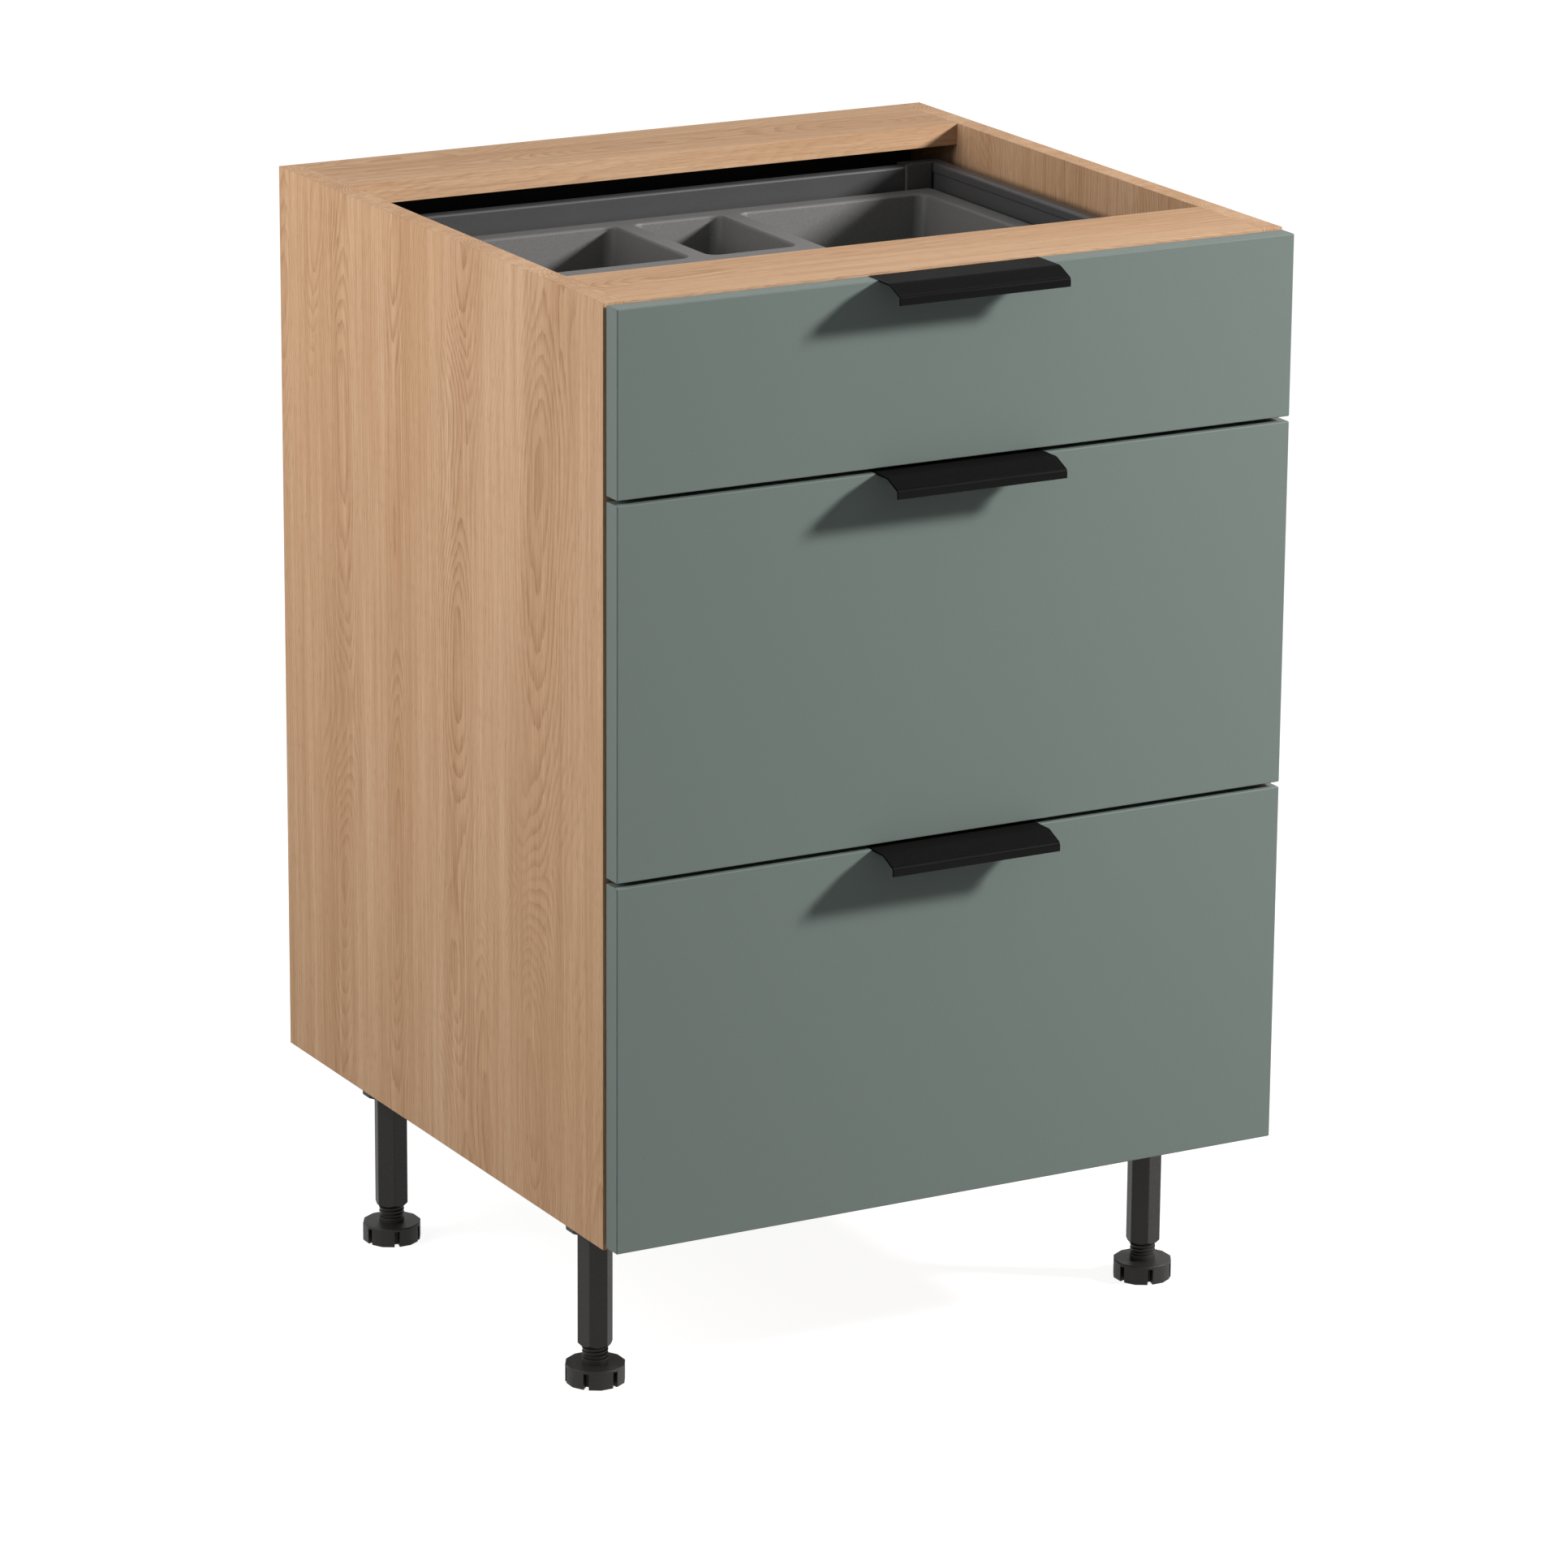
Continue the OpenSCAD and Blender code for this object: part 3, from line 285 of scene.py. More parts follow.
    heart_tone = ranged(group, worked(group, "ADD", far_y, ranged(group, fade, 0.0, 1.0, (-200, 1100), -0.03, 0.03),
                                      (0, 1200)), 0.0, 0.045, (200, 1200), 0.55, 0.0)
    colour = tinted(group, ranged(group, broad, 0.3, 0.7, (-200, -800)), paint(206, 171, 139),
                    paint(196, 158, 123), (300, -200))
    colour = tinted(group, heart_tone, colour, paint(184, 145, 110), (400, -200))
    colour = tinted(group, ranged(group, streak, 0.45, 0.70, (0, -300), 0.0, 0.5), colour,
                    paint(172, 132, 98), (500, -200))
    colour = tinted(group, ranged(group, streak, 0.28, 0.44, (0, -350), 0.5, 0.0), colour,
                    paint(213, 182, 154), (600, -200))
    colour = tinted(group, worked(group, "MULTIPLY", late, 0.84, (750, 300)), colour, paint(151, 112, 80),
                    (800, -100))
    colour = tinted(group, ranged(group, fibre, 0.48, 0.74, (0, -450), 0.0, 0.40), colour, paint(158, 120, 87),
                    (900, -100))
    colour = tinted(group, ranged(group, fibre, 0.28, 0.44, (0, -500), 0.35, 0.0), colour, paint(219, 189, 161),
                    (1000, -100))
    colour = tinted(group, worked(group, "MULTIPLY", pore, 0.35, (450, -500)), colour, paint(132, 96, 67),
                    (1100, -100))
    colour = tinted(group, worked(group, "MULTIPLY", knot_core, 0.75, (450, -900)), colour, paint(126, 86, 57),
                    (1200, -100))
    group.links.new(colour, end.inputs["Color"])
    group.links.new(ranged(group, fibre, 0.3, 0.8, (900, -400), 0.60, 0.74), end.inputs["Roughness"])
    height = worked(group, "SUBTRACT", worked(group, "MULTIPLY", fibre, 0.5, (750, -600)),
                    worked(group, "MULTIPLY", pore, 0.6, (750, -750)), (900, -600))
    group.links.new(height, end.inputs["Height"])
    return group


oak_decor = build_oak_decor()


def new_material(name, colour, roughness, metallic=0.0):
    """A material with its shader's constants set, and its tree and shader to build on."""
    material = bpy.data.materials.new(name)
    material.use_nodes = True
    tree = material.node_tree
    shader = tree.nodes["Principled BSDF"]
    shader.inputs["Base Color"].default_value = colour
    shader.inputs["Roughness"].default_value = roughness
    shader.inputs["Metallic"].default_value = metallic
    return material, tree, shader


def add_bump(tree, shader, height, strength, distance):
    bump = add_node(tree, "ShaderNodeBump", (-250, -400))
    bump.inputs["Strength"].default_value = strength
    bump.inputs["Distance"].default_value = distance
    tree.links.new(height, bump.inputs["Height"])
    tree.links.new(bump.outputs["Normal"], shader.inputs["Normal"])


def oak_board(name, turn, offset, painted_shade=255):
    """Oak decor whose grain is turned from Z by turn, cut from its own place in the sheet, and evenly darkened by
    painted_shade, which is a painted shade (255 for none).
    """
    material, tree, shader = new_material(name, paint(203, 167, 132), 0.66)
    shader.inputs["Specular IOR Level"].default_value = 0.12
    place = add_node(tree, "ShaderNodeTexCoord", (-900, 0))
    mapping = add_node(tree, "ShaderNodeMapping", (-700, 0))
    mapping.inputs["Rotation"].default_value = turn
    mapping.inputs["Location"].default_value = offset
    decor = add_node(tree, "ShaderNodeGroup", (-480, 0), node_tree=oak_decor)
    tree.links.new(place.outputs["Object"], mapping.inputs["Vector"])
    tree.links.new(mapping.outputs["Vector"], decor.inputs["Vector"])
    tree.links.new(tinted(tree, 1.0, decor.outputs["Color"], paint(painted_shade, painted_shade, painted_shade), (-260, 0), "MULTIPLY"),
                   shader.inputs["Base Color"])
    tree.links.new(decor.outputs["Roughness"], shader.inputs["Roughness"])
    add_bump(tree, shader, decor.outputs["Height"], 0.25, 0.0002)
    return material


def dress(node, material):
    """Gives a CAD node its finish."""
    data = frame["nodes"][node].data
    data.materials.clear()
    data.materials.append(material)


def grained_board(name, colour, speck):
    """A melamine board in one colour, with a fine even grain in it."""
    material, tree, shader = new_material(name, colour, 0.6)
    shader.inputs["Specular IOR Level"].default_value = 0.2
    place = add_node(tree, "ShaderNodeTexCoord", (-1100, 0))
    fine = stretched_noise(tree, place.outputs["Object"], (900.0, 900.0, 220.0), (-900, 0), detail=3.0)
    tree.links.new(tinted(tree, ranged(tree, fine, 0.42, 0.66, (-500, 100)), colour, speck, (-300, 100)),
                   shader.inputs["Base Color"])
    add_bump(tree, shader, fine, 0.2, 0.0002)
    return material


def start_piece(name):
    """Names the primitive just added, enters edit mode and leaves all of it selected."""
    piece = bpy.context.active_object
    piece.name = name
    piece.data.name = name
    bpy.ops.object.mode_set(mode="EDIT")
    bpy.ops.mesh.select_all(action="SELECT")
    return piece


def node_copy(node, name):
    """A copy of a CAD node with its loose triangles joined into faces, left in edit mode."""
    bpy.ops.object.select_all(action="DESELECT")
    piece = bpy.data.objects.new(name, frame["nodes"][node].data.copy())
    bpy.context.scene.collection.objects.link(piece)
    piece.select_set(True)
    bpy.context.view_layer.objects.active = piece
    start_piece(name)
    bpy.ops.mesh.select_mode(type="VERT")
    bpy.ops.mesh.select_all(action="SELECT")
    bpy.ops.mesh.remove_doubles(threshold=0.00001)
    bpy.ops.mesh.dissolve_limited(angle_limit=math.radians(0.3))
    return piece


def pick(piece, kind, wanted):
    """Selects only the vertices, edges or faces that the test wanted accepts by their place."""
    bpy.ops.mesh.select_mode(type=kind)
    bpy.ops.mesh.select_all(action="DESELECT")
    bpy.ops.object.mode_set(mode="OBJECT")
    data = piece.data
    if kind == "VERT":
        for vertex in data.vertices:
            vertex.select = wanted(vertex.co)
    elif kind == "EDGE":
        for edge in data.edges:
            first, last = (data.vertices[k].co for k in edge.vertices)
            edge.select = wanted((first + last) / 2, last - first)
    else:
        for face in data.polygons:
            face.select = wanted(face.center, face.normal)
    bpy.ops.object.mode_set(mode="EDIT")


def use_modifier(piece, kind, **settings):
    """Adds a modifier and applies it."""
    modifier = piece.modifiers.new(kind.lower(), kind)
    for name, value in settings.items():
        setattr(modifier, name, value)
    bpy.ops.object.select_all(action="DESELECT")
    piece.select_set(True)
    bpy.context.view_layer.objects.active = piece
    bpy.ops.object.modifier_apply(modifier=modifier.name)


def end_piece(piece, material, smooth_degrees=None):
    """Leaves edit mode, and gives the piece its finish and, where asked, its smooth shading."""
    bpy.ops.object.mode_set(mode="OBJECT")
    bpy.ops.object.transform_apply(location=True, rotation=True, scale=True)
    piece.data.materials.clear()
    piece.data.materials.append(material)
    if smooth_degrees:
        bpy.ops.object.shade_smooth_by_angle(angle=math.radians(smooth_degrees))
        use_modifier(piece, "WEIGHTED_NORMAL", keep_sharp=True)
    return piece


def mount_on(piece, body, slot, *nodes):
    """The piece rides on the body and stands for the nodes, which are hidden; slot is not used."""
    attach(piece, body)
    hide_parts(*nodes)


def along_rim(node):
    """A test for the edges that lie along the twelve edges of the node's own box."""
    low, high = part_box(node)

    def lies_on_rim(middle, run):
        sides = 0
        for k in range(3):
            gap = min(abs(middle[k] - low[k]), abs(middle[k] - high[k]))
            if gap < 0.00005 and abs(run[k]) < 0.00005:
                sides += 1
        return sides == 2

    return lies_on_rim


upright = (0, 0, 0)
sideways = (0, math.radians(90), 0)
back_board = grained_board("grey_back_board", paint(30, 30, 30), paint(38, 38, 38))
boards = {
    "side_panel_left": ("oak_board", oak_board("oak_side_left", upright, (0.0, 0.31, 0.42))),
    "side_panel_right": ("oak_board", oak_board("oak_side_right", upright, (0.0, 2.17, 1.30))),
    "bottom_panel": ("oak_board", oak_board("oak_bottom", sideways, (1.9, 0.6, 0.0))),
    # The two rails are painted a little darker, a painted shade that tones down the strong lamp light on their tops
    "top_rail_front": ("oak_board", oak_board("oak_rail_front", sideways, (0.7, 1.22, 0.35), 253)),
    "top_rail_back": ("oak_board", oak_board("oak_rail_back", sideways, (0.2, 4.40, 0.15), 247)),
    "back_panel": ("grey_board", back_board),
}
band_round = 0.0005
for node, (slot, material) in boards.items():
    board = node_copy(node, node + "_board")
    on_rim = along_rim(node)
    between_sides = not node.startswith("side_panel")
    # The ends of a board between the sides butt against them, and stay sharp
    pick(board, "EDGE", lambda middle, run: on_rim(middle, run) and not (between_sides and abs(run.x) < 0.0001))
    bpy.ops.mesh.bevel(offset=band_round, segments=2, affect="EDGES", clamp_overlap=True)
    end_piece(board, material, 35)
    mount_on(board, "carcass", slot, node)


# Fittings inside the boards: cam locks and connecting bolts of zinc casting and zinc plated steel,
# turned beech dowels, and the countersunk screws of the runners.
def build_zinc_bloom():
    """The clouded, faintly scratched face of zinc plate."""
    group = bpy.data.node_groups.new("zinc_bloom", "ShaderNodeTree")
    group.interface.new_socket("Vector", in_out="INPUT", socket_type="NodeSocketVector")
    group.interface.new_socket("Color", in_out="OUTPUT", socket_type="NodeSocketColor")
    group.interface.new_socket("Roughness", in_out="OUTPUT", socket_type="NodeSocketFloat")
    group.interface.new_socket("Height", in_out="OUTPUT", socket_type="NodeSocketFloat")
    start = add_node(group, "NodeGroupInput", (-1200, 0)).outputs["Vector"]
    end = add_node(group, "NodeGroupOutput", (600, 0))
    cloud = stretched_noise(group, start, (60.0, 60.0, 60.0), (-900, 200), detail=4.0)
    rolled = stretched_noise(group, start, (2500.0, 30.0, 2500.0), (-900, -100), detail=2.0)
    colour = tinted(group, cloud, paint(184, 187, 191), paint(202, 204, 207), (-200, 200))
    group.links.new(colour, end.inputs["Color"])
    group.links.new(ranged(group, cloud, 0.3, 0.7, (-200, 0), 0.38, 0.46), end.inputs["Roughness"])
    group.links.new(rolled, end.inputs["Height"])
    return group


zinc_bloom = build_zinc_bloom()


def metal_from(name, group, colour, roughness):
    material, tree, shader = new_material(name, colour, roughness, 1.0)
    place = add_node(tree, "ShaderNodeTexCoord", (-900, 0))
    finish = add_node(tree, "ShaderNodeGroup", (-480, 0), node_tree=group)
    tree.links.new(place.outputs["Object"], finish.inputs["Vector"])
    tree.links.new(finish.outputs["Color"], shader.inputs["Base Color"])
    tree.links.new(finish.outputs["Roughness"], shader.inputs["Roughness"])
    add_bump(tree, shader, finish.outputs["Height"], 0.15, 0.0001)
    return material


zinc_plate = metal_from("zinc_plate", zinc_bloom, paint(190, 192, 196), 0.36)
zinc_casting = metal_from("zinc_casting", zinc_bloom, paint(184, 186, 190), 0.4)

beech, beech_tree, beech_shader = new_material("beech", paint(217, 184, 133), 0.6)
beech_place = add_node(beech_tree, "ShaderNodeTexCoord", (-900, 0))
beech_fleck = stretched_noise(beech_tree, beech_place.outputs["Object"], (40.0, 900.0, 900.0), (-700, 0), detail=2.0)
beech_colour = tinted(beech_tree, beech_fleck, paint(222, 190, 140), paint(198, 160, 110), (-250, 0))
beech_tree.links.new(beech_colour, beech_shader.inputs["Base Color"])

dress("cam_locks", zinc_casting)
dress("connecting_bolts", zinc_plate)
dress("dowels", beech)
dress("runner_screws", zinc_plate)


# Runners: three members of zinc plated steel strip, rolled to channels with grooves for the balls,
# which steel cages hold. The front is held to its box by a bracket of folded steel on either side.
runner_parts = {
    "cabinet_runners": "carcass",
    "outer_ball_cages": "{}_outer_ball_cages",
    "intermediate_runners": "{}_intermediate_runners",
    "inner_ball_cages": "{}_inner_ball_cages",
    "drawer_runners": "{}_drawer",
    "drawer_brackets": "{}_drawer",
}
for drawer in ("top", "middle", "lower"):
    for part, body in runner_parts.items():
        node = drawer + "_" + part
        member = node_copy(node, node + "_steel")
        end_piece(member, zinc_plate, 40)
        mount_on(member, body.format(drawer), "zinc_steel", node)


# Legs: black moulded plastic, pressed into the underside of the bottom panel by a split plug.
# A twelve-sided flange carries the panel, and the hexagonal column is hollow for the foot's stud.
def moulded(name, colour, speck, roughness, gloss, grain_size, bump):
    """Moulded plastic or powder paint: an even colour with fine specks and a fine grain."""
    material, tree, shader = new_material(name, colour, roughness)
    shader.inputs["Specular IOR Level"].default_value = gloss
    place = add_node(tree, "ShaderNodeTexCoord", (-1100, 0))
    fine = stretched_noise(tree, place.outputs["Object"], (grain_size,) * 3, (-900, 0), detail=3.0, roughness=0.7)
    cloud = stretched_noise(tree, place.outputs["Object"], (22.0,) * 3, (-900, -300), detail=2.0)
    base = tinted(tree, ranged(tree, fine, 0.45, 0.70, (-500, 100)), colour, speck, (-300, 100))
    tree.links.new(base, shader.inputs["Base Color"])
    tree.links.new(ranged(tree, cloud, 0.3, 0.7, (-500, -300), roughness - 0.02, roughness + 0.02),
                   shader.inputs["Roughness"])
    add_bump(tree, shader, fine, bump, 0.0003)
    return material


def cut_away(piece, tool):
    """Takes the tool's shape out of the piece, and throws the tool away."""
    use_modifier(piece, "BOOLEAN", operation="DIFFERENCE", solver="EXACT", object=tool)
    bpy.data.objects.remove(tool)


def joined(piece, part):
    """Makes the part one with the piece."""
    use_modifier(piece, "BOOLEAN", operation="UNION", solver="EXACT", object=part)
    bpy.data.objects.remove(part)


def stand_copy(piece, name, spot, degrees):
    """A copy with its own mesh, stood at the spot and turned about its upright axis."""
    copy = piece.copy()
    copy.data = piece.data.copy()
    copy.name = name
    copy.data.name = name
    bpy.context.scene.collection.objects.link(copy)
    copy.location = spot
    copy.rotation_euler = (0, 0, math.radians(degrees))
    bpy.ops.object.select_all(action="DESELECT")
    copy.select_set(True)
    bpy.context.view_layer.objects.active = copy
    bpy.ops.object.transform_apply(location=True, rotation=True, scale=True)
    return copy


leg_plastic = moulded("leg_plastic", paint(27, 26, 25), paint(44, 42, 40), 0.5, 0.3, 900.0, 0.5)
leg_places = {
    "front_left": ((-0.255, -0.1585, 0), -15),
    "front_right": ((0.255, -0.1585, 0), 15),
    "back_left": ((-0.255, 0.2115, 0), 15),
    "back_right": ((0.255, 0.2115, 0), -15),
}
panel_underside = 0.150
column_end = 0.0305
column_top = panel_underside - 0.001
column_radius = 0.0125 / math.cos(math.radians(30))
column_chamfer = 0.003
flange_radius = 0.0245
flange_height = 0.021
flange_slope = 0.001
flange_wall = 0.0024
flange_plate = 0.003
rib_thick = 0.002
rib_in = 0.0015
bore_radius = 0.01058
bore_top = 0.092
plug_radius = 0.00995
plug_top = panel_underside + 0.0108
split_wide = 0.0016
split_bottom = panel_underside + 0.004

bpy.ops.object.select_all(action="DESELECT")
bpy.ops.mesh.primitive_cylinder_add(vertices=6, radius=column_radius, depth=column_top - column_end + 0.002,
                                    location=(0, 0, (column_top + column_end) / 2 - 0.001),
                                    rotation=(0, 0, math.radians(30)))
column = start_piece("leg_column")
end_piece(column, leg_plastic)
bpy.ops.object.mode_set(mode="EDIT")
pick(column, "EDGE", lambda middle, run: abs(run.z) > 0.05)
bpy.ops.mesh.bevel(offset=0.0008, segments=3, affect="EDGES")
end_piece(column, leg_plastic)

# The lower end is turned to a cone, cut here by a round bar that ends in one
bpy.ops.object.select_all(action="DESELECT")
bpy.ops.mesh.primitive_cylinder_add(vertices=48, radius=column_radius + 0.0005, depth=0.2,
                                    location=(0, 0, column_end + 0.1))
turned = start_piece("leg_turned_end")
end_piece(turned, leg_plastic)
bpy.ops.object.mode_set(mode="EDIT")
pick(turned, "EDGE", lambda middle, run: middle.z < column_end + 0.001 and abs(run.z) < 0.001)
bpy.ops.mesh.bevel(offset=column_chamfer + 0.0005, segments=1, affect="EDGES")
end_piece(turned, leg_plastic)
use_modifier(column, "BOOLEAN", operation="INTERSECT", solver="EXACT", object=turned)
bpy.data.objects.remove(turned)

bpy.ops.object.select_all(action="DESELECT")
bpy.ops.mesh.primitive_cylinder_add(vertices=12, radius=flange_radius, depth=flange_height,
                                    location=(0, 0, panel_underside - flange_height / 2))
flange = start_piece("leg_flange")
end_piece(flange, leg_plastic)
bpy.ops.object.mode_set(mode="EDIT")
pick(flange, "FACE", lambda middle, normal: normal.z < -0.9)
rim_scale = (flange_radius - flange_slope) / flange_radius
bpy.ops.transform.resize(value=(rim_scale, rim_scale, 1), center_override=(0, 0, panel_underside - flange_height))
bpy.ops.mesh.bevel(offset=0.0006, segments=2, affect="EDGES")
pick(flange, "FACE", lambda middle, normal: normal.z < -0.9)
bpy.ops.mesh.inset(thickness=flange_wall, depth=0)
bpy.ops.mesh.extrude_region_move(TRANSFORM_OT_translate={"value": (0, 0, flange_height - flange_plate)})
end_piece(flange, leg_plastic)
joined(column, flange)

# Six ribs stiffen the flange against the column
for turn in range(6):
    reach = flange_radius - flange_slope - flange_wall / 2
    tall = flange_height - rib_in - flange_plate / 2
    angle = math.radians(60 * turn)
    bpy.ops.object.select_all(action="DESELECT")
    bpy.ops.mesh.primitive_cube_add(size=1)
    rib = start_piece("leg_rib")
    rib.scale = (reach - bore_radius, rib_thick, tall)
    middle_radius = (reach + bore_radius) / 2
    rib.location = (middle_radius * math.cos(angle), middle_radius * math.sin(angle),
                    panel_underside - flange_height + rib_in + tall / 2)
    rib.rotation_euler = (0, 0, angle)
    end_piece(rib, leg_plastic)
    joined(column, rib)

bpy.ops.object.select_all(action="DESELECT")
bpy.ops.mesh.primitive_cylinder_add(vertices=36, radius=plug_radius, depth=plug_top - column_top + 0.001,
                                    location=(0, 0, (plug_top + column_top - 0.001) / 2))
plug = start_piece("leg_plug")
end_piece(plug, leg_plastic)
joined(column, plug)

bpy.ops.object.select_all(action="DESELECT")
bpy.ops.mesh.primitive_cylinder_add(vertices=48, radius=bore_radius, depth=bore_top - column_end + 0.001,
                                    location=(0, 0, (bore_top + column_end - 0.001) / 2))
cut_away(column, bpy.context.active_object)

# The plug's split is a cross, drawn out of a square bar
bpy.ops.object.select_all(action="DESELECT")
bpy.ops.mesh.primitive_cube_add(size=split_wide, location=(0, 0, split_bottom + split_wide / 2))
cross = start_piece("leg_plug_split")
end_piece(cross, leg_plastic)
bpy.ops.object.mode_set(mode="EDIT")
pick(cross, "FACE", lambda middle, normal: normal.z > 0.9)
bpy.ops.transform.translate(value=(0, 0, 0.008))
for across in ((0.013, 0, 0), (-0.013, 0, 0), (0, 0.013, 0), (0, -0.013, 0)):
    way = Vector(across).normalized()
    pick(cross, "FACE", lambda middle, normal: normal.dot(way) > 0.9 and middle.xy.length < split_wide)
    bpy.ops.mesh.extrude_region_move(TRANSFORM_OT_translate={"value": across})
end_piece(cross, leg_plastic)
cut_away(column, cross)

for place, (spot, degrees) in leg_places.items():
    leg = stand_copy(column, "leg_" + place + "_moulding", spot, degrees)
    end_piece(leg, leg_plastic, 25)
    mount_on(leg, "carcass", "black_plastic", "leg_" + place)
bpy.data.objects.remove(column)


# Feet: a twelve-sided black disc with six slots for a spanner, on a threaded stud of the same
# moulding. The stud screws up and down in the column, and a plain collar joins it to the disc.
foot_radius = 0.0245
foot_height = 0.016
slot_wide = 0.0042
slot_deep = 0.008
slot_high = 0.0136
stud_core = 0.0088
stud_outer = 0.0105
stud_top = 0.076
thread_pitch = 0.0032
collar_radius = 0.01045
collar_top = 0.0205

bpy.ops.object.select_all(action="DESELECT")
bpy.ops.mesh.primitive_cylinder_add(vertices=12, radius=foot_radius, depth=foot_height,
                                    location=(0, 0, foot_height / 2))
foot = start_piece("foot_disc")
pick(foot, "EDGE", lambda middle, run: abs(run.z) < 0.001)
bpy.ops.mesh.bevel(offset=0.0009, segments=3, affect="EDGES")
end_piece(foot, leg_plastic)
for turn in range(6):
    bpy.ops.object.select_all(action="DESELECT")
    bpy.ops.mesh.primitive_cube_add(size=1)
    slot_tool = bpy.context.active_object
    slot_tool.scale = (slot_deep + 0.01, slot_wide, slot_high + 0.01)
    slot_radius = foot_radius - slot_deep + (slot_deep + 0.01) / 2
    angle = math.radians(60 * turn)
    slot_tool.location = (slot_radius * math.cos(angle), slot_radius * math.sin(angle),
                          slot_high - (slot_high + 0.01) / 2)
    slot_tool.rotation_euler = (0, 0, angle)
    bpy.ops.object.transform_apply(location=True, rotation=True, scale=True)
    cut_away(foot, slot_tool)
use_modifier(foot, "BEVEL", width=0.00035, segments=2, limit_method="ANGLE", angle_limit=math.radians(50))

# Collar and core are turned bars, and the thread is one ridge wound round the core
bpy.ops.object.select_all(action="DESELECT")
bpy.ops.mesh.primitive_cylinder_add(vertices=48, radius=collar_radius, depth=collar_top - foot_height + 0.001,
                                    location=(0, 0, (collar_top + foot_height - 0.001) / 2))
collar = start_piece("foot_collar")
pick(collar, "EDGE", lambda middle, run: middle.z > 0.001 and abs(run.z) < 0.0005)
bpy.ops.mesh.bevel(offset=0.0006, segments=2, affect="EDGES")
end_piece(collar, leg_plastic)
bpy.ops.object.select_all(action="DESELECT")
bpy.ops.mesh.primitive_cylinder_add(vertices=48, radius=stud_core, depth=stud_top - foot_height,
                                    location=(0, 0, (stud_top + foot_height) / 2))
core = start_piece("foot_core")
pick(core, "EDGE", lambda middle, run: middle.z > 0.001 and abs(run.z) < 0.0005)
bpy.ops.mesh.bevel(offset=0.001, segments=2, affect="EDGES")
end_piece(core, leg_plastic)
for part in (collar, core):
    use_modifier(foot, "BOOLEAN", operation="UNION", solver="EXACT", object=part)
    bpy.data.objects.remove(part)

thread_turns = int((stud_top - 0.0015 - collar_top) / thread_pitch)
bpy.ops.object.select_all(action="DESELECT")
bpy.ops.mesh.primitive_plane_add(size=1, rotation=(math.radians(90), 0, 0))
thread = start_piece("foot_thread")
thread_root = stud_core - 0.0004
thread.scale = (stud_outer - thread_root, 0.0024, 1)
thread.location = ((stud_outer + thread_root) / 2, 0, collar_top + 0.0002)
end_piece(thread, leg_plastic)
bpy.ops.object.mode_set(mode="EDIT")
pick(thread, "VERT", lambda spot: spot.x > stud_outer - 0.0002)
bpy.ops.transform.resize(value=(1, 1, 0.3), center_override=(stud_outer, 0, collar_top + 0.0002))
bpy.ops.mesh.select_all(action="SELECT")
bpy.ops.mesh.delete(type="ONLY_FACE")
bpy.ops.object.mode_set(mode="OBJECT")
use_modifier(thread, "SCREW", angle=math.radians(360), screw_offset=thread_pitch, iterations=thread_turns,
             steps=36, render_steps=36, use_smooth_shade=False, use_merge_vertices=False)
bpy.ops.object.mode_set(mode="EDIT")
bpy.ops.mesh.select_mode(type="EDGE")
bpy.ops.mesh.select_all(action="DESELECT")
bpy.ops.mesh.select_non_manifold()
bpy.ops.mesh.fill()
bpy.ops.mesh.select_all(action="SELECT")
bpy.ops.mesh.normals_make_consistent(inside=False)
end_piece(thread, leg_plastic)
bpy.ops.object.select_all(action="DESELECT")
thread.select_set(True)
foot.select_set(True)
bpy.context.view_layer.objects.active = foot
bpy.ops.object.join()

for place, (spot, degrees) in leg_places.items():
    copy = stand_copy(foot, "foot_" + place + "_moulding", spot, degrees)
    end_piece(copy, leg_plastic, 30)
    mount_on(copy, "foot_" + place, "black_plastic", "foot_" + place)
bpy.data.objects.remove(foot)


# Drawer boxes: hollow sides and a back of folded steel sheet with a dark grey powder coat, moulded
# corners that join them, a melamine bottom, and rails over the sides of the two deep drawers.
box_paint = moulded("drawer_box_grey", paint(63, 63, 64), paint(73, 73, 74), 0.42, 0.35, 1500.0, 0.2)
box_moulding = moulded("drawer_corner_grey", paint(66, 65, 65), paint(76, 75, 75), 0.5, 0.4, 1100.0, 0.3)
box_board = grained_board("drawer_bottom_grey", paint(66, 66, 66), paint(80, 80, 79))
box_parts = {
    "drawer_side_left": ("grey_sheet", box_paint),
    "drawer_side_right": ("grey_sheet", box_paint),
    "drawer_back": ("grey_sheet", box_paint),
    "drawer_bottom": ("grey_board", box_board),
    "drawer_corners": ("grey_moulding", box_moulding),
    "gallery_rails": ("grey_sheet", box_paint),
}
for drawer in ("top", "middle", "lower"):
    for part, (slot, material) in box_parts.items():
        node = drawer + "_" + part
        if node not in frame["nodes"]:
            continue
        piece = node_copy(node, node + "_made")
        end_piece(piece, material, 40)
        mount_on(piece, drawer + "_drawer", slot, node)


# Cutlery tray of the top drawer: one sheet of grey plastic, drawn down into five compartments with
# sloping walls and round corners. Its rim is turned down all round and rests near the drawer sides.
tray_plastic = moulded("tray_grey", paint(96, 96, 96), paint(110, 110, 109), 0.52, 0.3, 1100.0, 0.4)
tray_half = 0.2515
tray_front = -0.2555
tray_back = 0.2070
tray_top = 0.8502
tray_deep = 0.0508
tray_sheet = 0.0018
rim_wide = 0.018
rim_skirt = 0.009
middle_half = 0.040
short_front = tray_back - rim_wide - 0.134
draft = 0.005
across = [-tray_half + rim_wide, -middle_half - rim_wide, -middle_half, middle_half, middle_half + rim_wide,
          tray_half - rim_wide]
along = [tray_front + rim_wide, short_front - rim_wide, short_front, tray_back - rim_wide]
